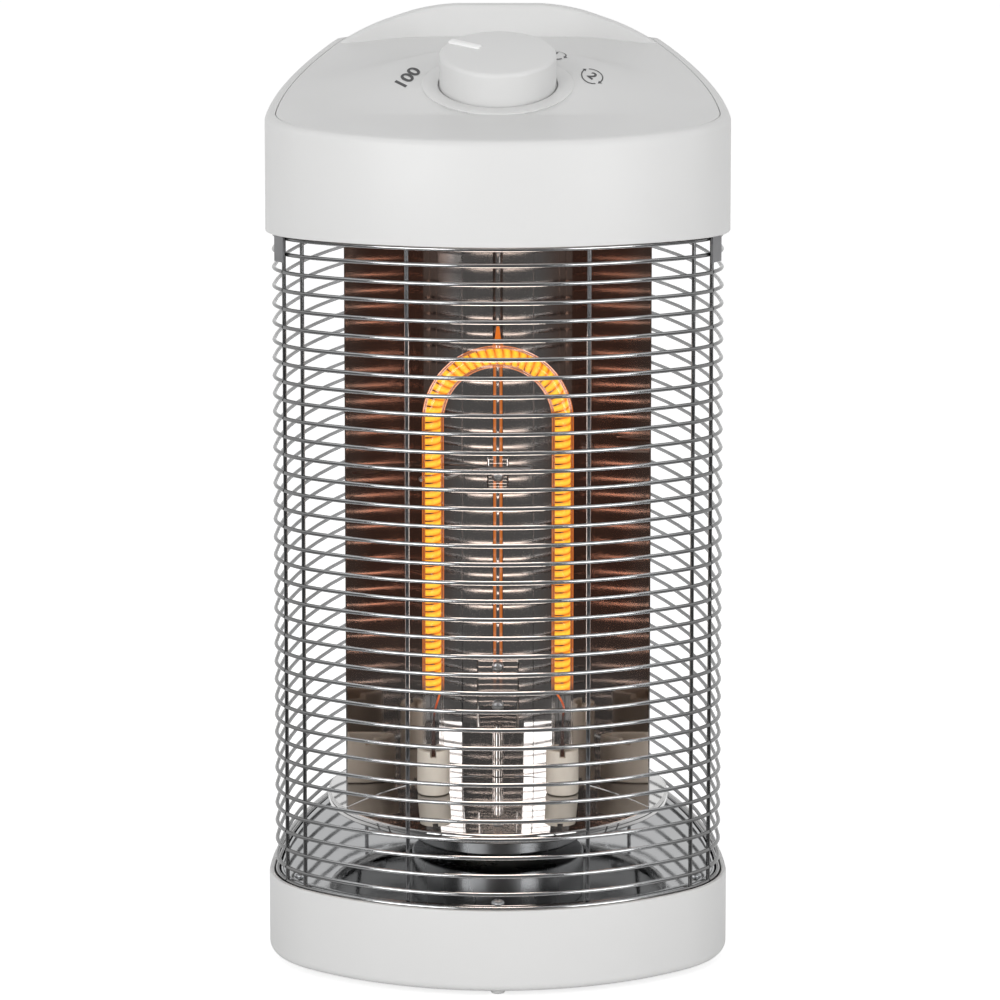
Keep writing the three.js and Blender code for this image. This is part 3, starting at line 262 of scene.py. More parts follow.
# Carbon: brightest along the middle of the band, and cooler at its edges and down the leads
def carbonRecipe(tree):
    warmth = Signal.node(tree, "ShaderNodeAttribute", {"attribute_name": "warmth"}, None, "Fac")
    shade = Signal.node(tree, "ShaderNodeValToRGB", {"stops": [
        (0.0, (0.02, 0.004, 0.001, 1)),
        (0.25, (0.5, 0.06, 0.001, 1)),
        (0.5, (0.8, 0.19, 0.002, 1)),
        (0.8, (1.0, 0.46, 0.014, 1)),
        (1.0, (1.0, 0.64, 0.034, 1)),
    ]}, {"Fac": warmth * noise(tree, 500, 2.0).spread(0.2, 0.6, 0.86, 1.0)})
    return {
        "Emission Color": shade,
        "Base Color": blendOf(tree, noise(tree, 800), (0.02, 0.02, 0.02), (0.05, 0.05, 0.05)),
        "Roughness": noise(tree, 900).spread(0.3, 0.7, 0.6, 0.8),
    }


materials["carbon"] = surface("glowingCarbon", {"Emission Strength": 1.2}, carbonRecipe)
print("materials made")

# The body's outline from above: its size, and the radius of each arc
outline = {"width": 229 * mm, "depth": 252 * mm, "front": 154 * mm, "corner": 51 * mm, "side": 424 * mm,
           "rear": 45 * mm}


# The right half of the outline as arcs, each a centre and an angle, from the front middle to the rear
def outlineArcs():
    half, edge = outline["width"] / 2, outline["depth"] / 2
    reach = outline["front"] - outline["corner"]
    frontSpan = math.asin((half - outline["corner"]) / reach)
    front = Vector((0, outline["front"] - edge, 0))
    corner = Vector((reach * math.sin(frontSpan), front.y - reach * math.cos(frontSpan), 0))
    side = Vector((half - outline["side"], corner.y, 0))
    reach = outline["side"] - outline["rear"]
    sideSpan = math.asin((edge - outline["rear"] - side.y) / reach)
    rear = Vector((side.x + reach * math.cos(sideSpan), edge - outline["rear"], 0))
    quarter = math.pi / 2
    return [(front, frontSpan), (corner, quarter - frontSpan), (side, sideSpan), (rear, quarter - sideSpan)]


arcs = outlineArcs()
frontEdge = -outline["depth"] / 2
lidMark = 600  # profile heights just below this one, in millimetres, are measured from the lid's own surface
lidShape = {"shoulder": 416.5 * mm, "rise": 34.5 * mm, "sag": 16.4 * mm, "length": 222 * mm}
dial = {"centre": Vector((0, -23.2 * mm, 435.4842 * mm)), "tilt": math.radians(18.5), "radius": 38 * mm,
        "swell": 62 * mm, "seat": 35.5 * mm, "seatDepth": 2.4 * mm}
dialPlace = Matrix.Translation(dial["centre"]) @ Matrix.Rotation(dial["tilt"], 4, "X")
turntableTop = Vector((0, -10.2 * mm, 73 * mm))  # the turntable's own origin, in the middle of its disc's top
turntablePlace = Matrix.Translation(turntableTop)
spindleFoot = Matrix.Translation((0, turntableTop.y, 0))


def lidHeight(y):
    share = min((y - frontEdge) / lidShape["length"], 1)
    return lidShape["shoulder"] + lidShape["rise"] * share - lidShape["sag"] * share * (1 - share)


def easeOf(value):
    value = min(max(value, 0), 1)
    return value * value * (3 - 2 * value)


# The lid swells up to the dial's tilted plane and falls away round it
def lidSurface(x, y):
    plane = dial["centre"].z + (y - dial["centre"].y) * math.tan(dial["tilt"])
    reach = math.hypot(x, y - dial["centre"].y)
    swell = max(plane - lidHeight(y), 0) * (1 - easeOf((reach - dial["radius"]) / dial["swell"]))
    return lidHeight(y) + swell


def asObject(name, bm):
    mesh = bpy.data.meshes.new(name)
    bm.to_mesh(mesh)
    bm.free()
    made = bpy.data.objects.new(name, mesh)
    bpy.context.scene.collection.objects.link(made)
    return made


def mergeDoubles(bm):
    bmesh.ops.remove_doubles(bm, verts=bm.verts, dist=near)
    bmesh.ops.dissolve_degenerate(bm, edges=bm.edges, dist=1e-7)


# Edges that meet at more than the angle, in degrees, are sharp
def newPiece(name, bm, material, body, nodes, angle=35):
    mergeDoubles(bm)
    bmesh.ops.recalc_face_normals(bm, faces=bm.faces)
    for face in bm.faces:
        face.smooth = True
    for edge in bm.edges:
        edge.smooth = edge.calc_face_angle(0) < math.radians(angle)
    piece = asObject(name, bm)
    piece.data.materials.append(materials[material])
    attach(piece, body)
    if nodes:
        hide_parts(*nodes)
    return piece


def edgesOf(geometry):
    return [item for item in geometry if isinstance(item, bmesh.types.BMEdge)]


def vertsOf(geometry):
    return [item for item in geometry if isinstance(item, bmesh.types.BMVert)]


def roundCorners(bm, corners, rounds, steps):
    for index, radius in rounds.items():
        bmesh.ops.bevel(bm, geom=[corners[index]], offset=radius * mm, offset_type="OFFSET", segments=steps,
                        profile=0.5, affect="VERTICES", material=-1)


def joinUp(bm, corners, closed=False):
    for first, second in zip(corners, corners[1:] + corners[:1] if closed else corners[1:]):
        bm.edges.new((first, second))


# Profile in the plane of symmetry, as [inset, height] from the front edge in millimetres, with some corners rounded
def profileOf(points, closed=False, rounds=None, steps=5):
    bm = bmesh.new()
    corners = [bm.verts.new((0, frontEdge + inset * mm, height * mm)) for inset, height in points]
    joinUp(bm, corners, closed)
    roundCorners(bm, corners, rounds or {}, steps)
    return bm


# Extrudes edges until one coordinate of the new ones has a given value
def extrudeTo(bm, edges, axis, value):
    grown = bmesh.ops.extrude_edge_only(bm, edges=edges)["geom"]
    for vert in vertsOf(grown):
        setattr(vert.co, axis, value)
    return grown


def turnAbout(bm, geometry, centre, angle, steps):
    return bmesh.ops.spin(bm, geom=geometry, cent=centre, axis=(0, 0, 1), angle=angle, steps=steps)["geom_last"]


# Sweeps what is in the mesh round the right half of the body outline, from its front middle to its rear middle
def sweepHalf(bm, steps):
    last = bm.verts[:] + bm.edges[:]
    for (centre, span), count in zip(arcs, steps):
        last = turnAbout(bm, last, centre, span, count)
    extrudeTo(bm, edgesOf(last), "x", 0)


# Carries a boundary chain at one height across to the plane of symmetry, in several columns
def closeAcross(bm, height, columns=0):
    chain = [edge for edge in bm.edges if edge.is_boundary and max(v.co.x for v in edge.verts) > near
             and all(abs(v.co.z - height * mm) < near for v in edge.verts)]
    inner = set(vertsOf(extrudeTo(bm, chain, "x", 0)))
    if columns:
        rungs = [edge for edge in bm.edges if len(inner.intersection(edge.verts)) == 1]
        bmesh.ops.subdivide_edges(bm, edges=rungs, cuts=columns, use_grid_fill=True)


def mirrorHalf(bm):
    mergeDoubles(bm)
    bmesh.ops.mirror(bm, geom=bm.verts[:] + bm.edges[:] + bm.faces[:], axis="X", merge_dist=1e-5)


def drapeOnLid(bm):
    for vert in bm.verts:
        below = lidMark * mm - vert.co.z
        if below < 50 * mm:
            vert.co.z = lidHeight(vert.co.y) - below


# Solid of revolution about +Z from [radius, height] in millimetres, placed by a matrix
def spun(points, place, rounds=None, sides=64, closed=False, steps=5):
    bm = bmesh.new()
    corners = [bm.verts.new((radius * mm, 0, height * mm)) for radius, height in points]
    joinUp(bm, corners, closed)
    roundCorners(bm, corners, rounds or {}, steps)
    bmesh.ops.spin(bm, geom=bm.verts[:] + bm.edges[:], cent=(0, 0, 0), axis=(0, 0, 1), angle=2 * math.pi,
                   steps=sides, use_merge=True)
    bmesh.ops.remove_doubles(bm, verts=bm.verts, dist=near)
    bmesh.ops.transform(bm, matrix=place, verts=bm.verts)
    return bm


def boxOf(low, high, bevel=0):
    bm = bmesh.new()
    bmesh.ops.create_cube(bm, size=1)
    low, high = Vector(low) * mm, Vector(high) * mm
    bmesh.ops.scale(bm, vec=high - low, verts=bm.verts)
    bmesh.ops.translate(bm, vec=(low + high) / 2, verts=bm.verts)
    if bevel:
        bmesh.ops.bevel(bm, geom=bm.edges[:], offset=bevel * mm, offset_type="OFFSET", segments=3, profile=0.5,
                        affect="EDGES", material=-1)
    return bm


def addInto(bm, other):
    mesh = bpy.data.meshes.new("part")
    other.to_mesh(mesh)
    other.free()
    bm.from_mesh(mesh)
    bpy.data.meshes.remove(mesh)


# Boolean of a shape with other shapes, applied at once
def carve(bm, others, operation="DIFFERENCE"):
    for shape in (bm, *others):
        bmesh.ops.recalc_face_normals(shape, faces=shape.faces)
    target, *tools = [asObject("carved", shape) for shape in (bm, *others)]
    for tool in tools:
        modifier = target.modifiers.new("cut", "BOOLEAN")
        modifier.operation, modifier.solver, modifier.object = operation, "EXACT", tool
    bpy.context.view_layer.update()
    result = bmesh.new()
    result.from_object(target, bpy.context.evaluated_depsgraph_get())
    for item in (target, *tools):
        bpy.data.objects.remove(item)
    return result


def meshOfCurve(curve):
    holder = bpy.data.objects.new(curve.name, curve)
    bpy.context.scene.collection.objects.link(holder)
    bpy.context.view_layer.update()
    mesh = bpy.data.meshes.new_from_object(holder.evaluated_get(bpy.context.evaluated_depsgraph_get()))
    bpy.data.objects.remove(holder)
    bm = bmesh.new()
    bm.from_mesh(mesh)
    return bm


# Round wire along points in millimetres
def wireAlong(points, radius, smooth=True):
    curve = bpy.data.curves.new("wire", "CURVE")
    curve.dimensions = "3D"
    curve.bevel_depth = radius * mm
    curve.bevel_resolution = 3
    curve.use_fill_caps = True
    spline = curve.splines.new("NURBS" if smooth else "POLY")
    spline.points.add(len(points) - 1)
    for point, place in zip(spline.points, points):
        point.co = (*(Vector(place) * mm), 1)
    if smooth:
        spline.use_endpoint_u, spline.order_u, spline.resolution_u = True, 3, 6
    bm = meshOfCurve(curve)
    bmesh.ops.remove_doubles(bm, verts=bm.verts, dist=1e-7)
    return bm


def uprightWire(x, y, low, high, radius):
    return wireAlong([(x, y, low), (x, y, high)], radius, smooth=False)


# Base tub with its cord gland's opening and the plunger's hole, its feet and the deck
tub = {"bottom": 3.5, "floor": 6, "ledge": 29.7, "top": 44, "wall": 5, "rim": 2.5, "foot": 4.2, "lip": 0.6,
       "steps": (20, 16, 14, 16)}
gland = {"x": 30, "height": 18, "half": 6.3, "depth": (115, 130)}
plungerPlace = Matrix.Translation((0, -114.5 * mm, 0))


def makeTub():
    bm = profileOf([
        (tub["wall"], tub["bottom"]), (0, tub["bottom"]), (0, tub["top"]), (tub["rim"], tub["top"]),
        (tub["rim"], tub["ledge"]), (tub["wall"], tub["ledge"]), (tub["wall"], tub["floor"]),
    ], rounds={1: tub["foot"], 2: tub["lip"], 3: tub["lip"]})
    sweepHalf(bm, tub["steps"])
    closeAcross(bm, tub["bottom"])
    closeAcross(bm, tub["floor"])
    mirrorHalf(bm)
    opening = boxOf(*[(gland["x"] + side * gland["half"], y, gland["height"] + side * gland["half"])
                      for side, y in zip((-1, 1), gland["depth"])])
    hole = spun([(0, 2), (4.2, 2), (4.2, 7), (0, 7)], plungerPlace, sides=24)
    newPiece("baseTub", carve(bm, [opening, hole]), "white", "body", ["base_shell"])


makeTub()
footPlaces = {"front_left": (-72, -66), "front_right": (72, -66), "rear_left": (-60, 96), "rear_right": (60, 96)}
for footName, (x, y) in footPlaces.items():
    footPlace = Matrix.Translation((x * mm, y * mm, 0))
    footMesh = spun([(0, 0), (8, 0), (8, 3.3), (0, 3.3)], footPlace, rounds={1: 1}, sides=32)
    newPiece("rubberFoot_" + footName, footMesh, "rubber", "body", ["foot_" + footName])

deck = {"top": 45, "sheet": 1, "skirt": 38, "inset": 5.5, "flat": 8, "round": 1.4, "bore": 13.4, "lead": 3.2,
        "leadDepth": 96, "steps": (16, 10, 10, 12)}


def makeDeck():
    inner = deck["inset"] + deck["sheet"]
    bm = profileOf([
        (inner, deck["top"] - deck["sheet"]), (inner, deck["skirt"]), (deck["inset"], deck["skirt"]),
        (deck["inset"], deck["top"]), (deck["flat"], deck["top"]),
    ], rounds={3: deck["round"]})
    sweepHalf(bm, deck["steps"])
    closeAcross(bm, deck["top"] - deck["sheet"])
    closeAcross(bm, deck["top"])
    mirrorHalf(bm)
    bore = spun([(0, 30), (deck["bore"], 30), (deck["bore"], 50), (0, 50)], spindleFoot)
    leadPlace = Matrix.Translation((0, deck["leadDepth"] * mm, 0))
    lead = spun([(0, 30), (deck["lead"], 30), (deck["lead"], 50), (0, 50)], leadPlace, sides=24)
    newPiece("mirrorDeck", carve(bm, [bore, lead]), "deckMirror", "body", ["deck_plate"])


makeDeck()
print("base made")

# Wire guard: round rings on the outline, in a front and a rear panel that part at the split, with a gap between
guard = {"inset": 4, "wire": 1.0, "sides": 8, "split": 104.5, "gap": 0.02, "posts": (30.2, 372.6),
         "postInset": 0.4, "frontPost": 95, "rearPost": 104.5,
         "rings": [44] + [51 + 9 * k for k in range(35)] + [364.7]}


def ringProfile():
    bm = bmesh.new()
    bmesh.ops.create_circle(bm, segments=guard["sides"], radius=guard["wire"] * mm)
    upright = Matrix.Translation((0, frontEdge + guard["inset"] * mm, 0)) @ Matrix.Rotation(math.pi / 2, 4, "Y")
    bmesh.ops.transform(bm, matrix=upright, verts=bm.verts)
    return bm


def makeRings():
    corner, cornerSpan = arcs[1]
    reach = outline["corner"] - guard["inset"] * mm
    splitAngle = math.acos((guard["split"] * mm - corner.x) / reach)  # from +X towards the front
    ahead = cornerSpan - splitAngle
    front = ringProfile()
    last = front.verts[:] + front.edges[:]
    for centre, span, count in [(*arcs[0], 14), (corner, ahead - guard["gap"], 5)]:
        last = turnAbout(front, last, centre, span, count)
    bmesh.ops.contextual_create(front, geom=edgesOf(last))
    mirrorHalf(front)
    rear = ringProfile()
    last = rear.verts[:] + rear.edges[:]
    for centre, span in [arcs[0], (corner, ahead)]:
        bmesh.ops.rotate(rear, cent=centre, matrix=Matrix.Rotation(span, 3, "Z"), verts=rear.verts)
    for centre, span, count in [(corner, splitAngle, 6), (*arcs[2], 8), (*arcs[3], 12)]:
        last = turnAbout(rear, last, centre, span, count)
    extrudeTo(rear, edgesOf(last), "x", 0)
    ends = [edge for edge in rear.edges if edge.is_boundary and min(v.co.x for v in edge.verts) > near]
    bmesh.ops.contextual_create(rear, geom=ends)
    mirrorHalf(rear)
    for name, bm, node, post in [("guardFront", front, "guard_front", guard["frontPost"]),
                                 ("guardRear", rear, "guard_rear", guard["rearPost"])]:
        single = bm.verts[:] + bm.edges[:] + bm.faces[:]
        for height in guard["rings"][1:]:
            copied = bmesh.ops.duplicate(bm, geom=single)["geom"]
            bmesh.ops.translate(bm, vec=(0, 0, height * mm), verts=vertsOf(copied))
        bmesh.ops.translate(bm, vec=(0, 0, guard["rings"][0] * mm), verts=vertsOf(single))
        angle = math.acos((post * mm - corner.x) / reach)
        spot = corner + Vector((math.cos(angle), -math.sin(angle), 0)) * (reach - guard["postInset"] * mm)
        for side in (-1, 1):
            addInto(bm, uprightWire(side * spot.x / mm, spot.y / mm, *guard["posts"], guard["wire"]))
        newPiece(name, bm, "chrome", "body", [node], angle=50)


makeRings()
# The guard's uprights take the darker wire finish, painted shade
for wireName in ("left", "right", "rear_left", "rear_right"):
    low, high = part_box("guard_wire_" + wireName)
    middle = (low + high) / 2 / mm
    post = uprightWire(middle.x, middle.y, low.z / mm, high.z / mm, guard["wire"])
    newPiece("guardWire_" + wireName, post, "upright", "body", ["guard_wire_" + wireName], angle=50)
print("guard made")

# Top housing, open for the lid, with its rear lip and the carry grip cut through both
housing = {"bottom": 366, "ledge": 374.5, "rim": 2.5, "wall": 4, "shelf": 8, "opening": 5.3, "round": 3.4,
           "steps": (24, 18, 24, 18)}
grip = ((-40, 107, 436), (40, 132, 463))


def makeHousing():
    bm = profileOf([
        (0, housing["bottom"]), (0, lidMark), (housing["opening"], lidMark), (housing["opening"], lidMark - 3),
        (housing["shelf"], lidMark - 3), (housing["shelf"], lidMark - 5), (housing["wall"], lidMark - 9),
        (housing["wall"], housing["ledge"]), (housing["rim"], housing["ledge"]), (housing["rim"], housing["bottom"]),
    ], closed=True, rounds={0: 0.7, 1: housing["round"], 2: 0.4})
    sweepHalf(bm, housing["steps"])
    mirrorHalf(bm)
    drapeOnLid(bm)
    newPiece("topHousing", carve(bm, [boxOf(*grip)]), "white", "body", ["top_housing"])


makeHousing()

# The ridge is half of the lip's upper edge as seen from the front; its front wall curves forward into the wings
lip = {"ridge": [(0, 468), (35, 468), (68, 457.2), (92, 445)], "rounds": [(1, 14, 8), (2, 8, 4)], "floor": 433.5,
       "wall": 104, "wing": 86, "curve": (26, 60), "rear": 140, "soft": 1.6}


def makeLip():
    bm = bmesh.new()
    corners = [bm.verts.new((x * mm, 0, z * mm)) for x, z in lip["ridge"]]
    joinUp(bm, corners)
    for index, radius, steps in lip["rounds"]:
        roundCorners(bm, corners, {index: radius}, steps)
    bmesh.ops.subdivide_edges(bm, edges=[edge for edge in bm.edges if edge.calc_length() > 8 * mm], cuts=3)
    extrudeTo(bm, bm.edges[:], "z", lip["floor"] * mm)
    front = bm.verts[:]
    for vert in vertsOf(bmesh.ops.extrude_face_region(bm, geom=bm.faces[:])["geom"]):
        vert.co.y = lip["rear"] * mm
    start, length = lip["curve"]
    for vert in front:
        share = easeOf((vert.co.x / mm - start) / length)
        vert.co.y = (lip["wall"] - (lip["wall"] - lip["wing"]) * share) * mm
    middle = [face for face in bm.faces if max(abs(vert.co.x) for vert in face.verts) < near]
    bmesh.ops.delete(bm, geom=middle, context="FACES_ONLY")
    mirrorHalf(bm)
    column = profileOf([(0.12, 430), (0.12, 480)])
    sweepHalf(column, (24, 18, 24, 30))
    closeAcross(column, 430)
    closeAcross(column, 480)
    mirrorHalf(column)
    bm = carve(bm, [column], "INTERSECT")
    bm = carve(bm, [boxOf(*grip, 2.5)])
    bmesh.ops.remove_doubles(bm, verts=bm.verts, dist=0.05 * mm)
    bmesh.ops.dissolve_limit(bm, angle_limit=math.radians(0.2), verts=bm.verts, edges=bm.edges)
    piece = newPiece("rearLip", bm, "white", "body", [])
    edges = piece.modifiers.new("softEdges", "BEVEL")
    edges.width, edges.segments, edges.limit_method, edges.angle_limit = lip["soft"] * mm, 3, "ANGLE", math.radians(40)
    edges.use_clamp_overlap = False
    piece.modifiers.new("faceNormals", "WEIGHTED_NORMAL").keep_sharp = True


makeLip()
print("housing made")


# Lid panel, with the dial's plate seated in it
def makeLid():
    bm = profileOf([(5.6, lidMark - 2.7), (5.6, lidMark), (7, lidMark)], rounds={1: 0.4}, steps=3)
    sweepHalf(bm, (24, 14, 44, 12))
    closeAcross(bm, lidMark - 2.7)
    closeAcross(bm, lidMark, 40)
    mirrorHalf(bm)
    for vert in bm.verts:
        x, y, drop = vert.co.x, vert.co.y, vert.co.z - lidMark * mm
        upper = drop > -1 * mm
        vert.co.z = (lidSurface(x, y) if upper else lidHeight(y)) + drop
        if upper and math.hypot(x, y - dial["centre"].y) < dial["seat"]:
            vert.co.z -= dial["seatDepth"]
    newPiece("controlLid", bm, "white", "body", ["control_lid"])
    plate = spun([(3.4, -3.2), (3.4, -1.9), (30, -1.9), (30, 0.4), (38, 0.4), (38, -3.2)], dialPlace,
                 rounds={3: 0.5, 4: 0.35}, sides=96, closed=True, steps=3)
    newPiece("dialPlate", plate, "white", "body", [])


makeLid()

knob = {"radius": 29.2, "bottom": -1.5, "top": 17.3, "dome": 0.4, "foot": 0.4, "edge": 2.2}
pointer = {"from": 10, "to": 27.8, "half": 2.2, "root": 1.2, "rise": 1.3, "edge": 0.9, "turn": 150}


def makeKnob():
    bm = spun([(0, knob["bottom"]), (knob["radius"], knob["bottom"]), (knob["radius"], knob["top"]),
               (0, knob["top"] + knob["dome"])], dialPlace, rounds={1: knob["foot"], 2: knob["edge"]},
              sides=128, steps=6)
    newPiece("dialKnob", bm, "white", "knob", ["knob"])
    bar = boxOf((pointer["from"], -pointer["half"], knob["top"] - pointer["root"]),
                (pointer["to"], pointer["half"], knob["top"] + pointer["rise"]), pointer["edge"])
    turned = dialPlace @ Matrix.Rotation(math.radians(pointer["turn"]), 4, "Z")
    bmesh.ops.transform(bar, matrix=turned, verts=bar.verts)
    # The pointer takes the lighter white, a painted highlight
    newPiece("knobPointer", bar, "paintedHighlightWhite", "knob", [])


makeKnob()
print("lid and knob made")

printWeight = 0.03  # how far the strokes are thickened, as a share of the size


# Printed marks round the dial: plain numerals, and rings with arrow heads for the swinging settings
def textMesh(words, size):
    curve = bpy.data.curves.new("mark", "FONT")
    curve.body, curve.size, curve.align_x, curve.align_y = words, size * mm, "CENTER", "CENTER"
    curve.offset = printWeight * size * mm
    return meshOfCurve(curve)


arrow = {"line": 0.6, "sweep": math.radians(150), "tip": [(-1.3, 0.2), (0.9, 0.2), (-0.3, -1.6)]}


def arrowRing(radius):
    bm = bmesh.new()
    for turn in (0, math.pi):
        part = bmesh.new()
        part.edges.new([part.verts.new((reach * mm, 0, 0)) for reach in (radius - arrow["line"], radius)])
        turnAbout(part, part.verts[:] + part.edges[:], (0, 0, 0), arrow["sweep"], 24)
        part.faces.new([part.verts.new(((radius + x) * mm, y * mm, 0)) for x, y in arrow["tip"]])
        bmesh.ops.rotate(part, cent=(0, 0, 0), matrix=Matrix.Rotation(turn, 3, "Z"), verts=part.verts)
        addInto(bm, part)
    return bm


marks = {
    "left": {"words": "100", "size": 9.8, "place": (-45.2, -14.3), "turn": 52, "ring": 0, "lift": 0.12},
    "right": {"words": "2", "size": 7, "place": (47.4, -11.3), "turn": -45, "ring": 5.6, "lift": 0.12},
    "rear": {"words": "1", "size": 7, "place": (29.5, 18.0), "turn": -25, "ring": 5.6, "lift": 0.2},
    "rearLeft": {"words": "50", "size": 8.5, "place": (-21.5, 27.5), "turn": 25, "ring": 0, "lift": 0.5},
}
markStretch = Matrix.Diagonal((1, 1.9, 1, 1))  # printed long, to be read from low in front
for markName, mark in marks.items():
    markMesh = textMesh(mark["words"], mark["size"])
    if mark["ring"]:
        addInto(markMesh, arrowRing(mark["ring"]))
    bmesh.ops.triangulate(markMesh, faces=markMesh.faces)
    stretched = markStretch @ Matrix.Rotation(math.radians(mark["turn"]), 4, "Z")
    spot = Matrix.Translation((mark["place"][0] * mm, mark["place"][1] * mm, 0))
    bmesh.ops.transform(markMesh, matrix=spot @ stretched, verts=markMesh.verts)
    for vert in markMesh.verts:
        vert.co.z = lidSurface(vert.co.x, vert.co.y) + mark["lift"] * mm
    newPiece("dialMark_" + markName, markMesh, "ink", "body", [])
print("marks made")


# Turntable: disc with a rolled rim, drum, bush
def makeTurntable():
    disc = spun([(0, -1.2), (84.5, -1.2), (84.5, -4.5), (87, -4.5), (87, 0), (0, 0)], turntablePlace,
                rounds={3: 0.6, 4: 1.3, 1: 0.5}, sides=128)
    newPiece("turntableDisc", disc, "mirror", "turntable", ["turntable_disc"])
    drum = spun([(5, -44), (9, -44), (9, -24), (44, -24), (44, -1.5), (42.5, -1.5), (42.5, -22.5), (5, -22.5)],
                turntablePlace, rounds={3: 1.6}, sides=96, closed=True)
    newPiece("spindleDrum", drum, "satin", "turntable", ["spindle_drum"])
    bush = spun([(9.4, 39), (13, 39), (13, 45.3), (22, 45.3), (22, 48.7), (9.4, 48.7)], spindleFoot,
                rounds={4: 0.8}, sides=64, closed=True)
    newPiece("bush", bush, "gear", "body", ["spindle_bush"])


makeTurntable()

reflector = {"half": 75.5, "back": 19, "depth": 57, "power": 2.4, "low": 0.3, "high": 289, "sheet": 0.8,
             "bead": 2.75, "beadCut": 0.4, "beads": [(0.3, 27.4), (62.4, 150.7), (165.7, 289)],
             "pads": [((-11, 18, 25.4), (11, 19.4, 64.4)), ((-5.5, 17.4, 148.7), (5.5, 19.4, 167.7))]}


def faceOf(x):
    return reflector["back"] - reflector["depth"] * (abs(x) / reflector["half"]) ** reflector["power"]


def makeReflector():
    bm = bmesh.new()
    bmesh.ops.create_grid(bm, x_segments=72, y_segments=6, size=1)
    for vert in bm.verts:
        x = vert.co.x * reflector["half"]
        height = reflector["low"] + (vert.co.y + 1) / 2 * (reflector["high"] - reflector["low"])
        vert.co = (x * mm, faceOf(x) * mm, height * mm)
    bmesh.ops.recalc_face_normals(bm, faces=bm.faces)
    facesFront = bm.faces[:][len(bm.faces) // 2].normal.y < 0
    bmesh.ops.solidify(bm, geom=bm.faces[:], thickness=reflector["sheet"] * mm * (1 if facesFront else -1))
    cut = (0, (reflector["back"] + reflector["beadCut"]) * mm, 0)
    for bottom, top in reflector["beads"]:
        bead = bmesh.new()
        bmesh.ops.create_cone(bead, cap_ends=True, segments=32, radius1=reflector["bead"] * mm,
                              radius2=reflector["bead"] * mm, depth=(top - bottom) * mm)
        bmesh.ops.translate(bead, vec=(0, reflector["back"] * mm, (bottom + top) / 2 * mm), verts=bead.verts)
        cutEdge = bmesh.ops.bisect_plane(bead, geom=bead.verts[:] + bead.edges[:] + bead.faces[:],
                                         plane_co=cut, plane_no=(0, 1, 0), clear_outer=True)["geom_cut"]
        bmesh.ops.contextual_create(bead, geom=edgesOf(cutEdge))
        addInto(bm, bead)
    for low, high in reflector["pads"]:
        addInto(bm, boxOf(low, high, 0.9))
    bmesh.ops.transform(bm, matrix=turntablePlace, verts=bm.verts)
    newPiece("lampReflector", bm, "reflectorSteel", "turntable", ["reflector"], angle=30)


makeReflector()
print("turntable and reflector made")

# Lamp: quartz tube, carbon coil, ceramic caps and the support wire
lamp = {"spread": 32.8, "forward": 12, "radius": 5.5, "bore": 4.5, "bottom": 17.6, "top": 230.5, "coil": 3.7,
        "band": 3.15, "thick": 0.5, "pitch": 3.85, "curlSteps": 20, "glow": 53.2}
archHeight = lamp["top"] - lamp["radius"] - lamp["spread"]


def makeTube():
    bm = bmesh.new()
    archCentre = Vector((0, -lamp["forward"] * mm, archHeight * mm))
    legPlace = Matrix.Translation((-lamp["spread"] * mm, archCentre.y, archCentre.z))
    for radius in (lamp["radius"], lamp["bore"]):
        bmesh.ops.create_circle(bm, segments=32, radius=radius * mm, matrix=legPlace)
    first = bm.verts[:] + bm.edges[:]
    last = bmesh.ops.spin(bm, geom=first, cent=archCentre, axis=(0, 1, 0), angle=math.pi, steps=40)["geom_last"]
    for loop in (first, last):
        grown = extrudeTo(bm, edgesOf(loop), "z", lamp["bottom"] * mm)
        bmesh.ops.bridge_loops(bm, edges=edgesOf(grown))
    bmesh.ops.transform(bm, matrix=turntablePlace, verts=bm.verts)
    tip = spun([(0, lamp["top"] - 0.6), (3, lamp["top"] - 0.6), (1.6, lamp["top"] + 2.4), (0.8, lamp["top"] + 9.6),
                (0, lamp["top"] + 9.9)], turntablePlace @ Matrix.Translation((0, archCentre.y, 0)),
               rounds={2: 1.5}, sides=24)
    addInto(bm, tip)
    tube = newPiece("quartzTube", bm, "quartz", "turntable", ["lamp_tube"], angle=50)
    tube.visible_glossy = False


makeTube()

leads = {"bottom": 18, "pin": 33, "pinWire": 0.9, "bend": 40, "step": (1.5, -1, 46), "below": 0.4, "wire": 0.5,
         "fade": 30}
warmthOf = {"outside": 1, "inside": 0.6, "edgeLoss": 0.4, "edge": (0.2, 0.3)}


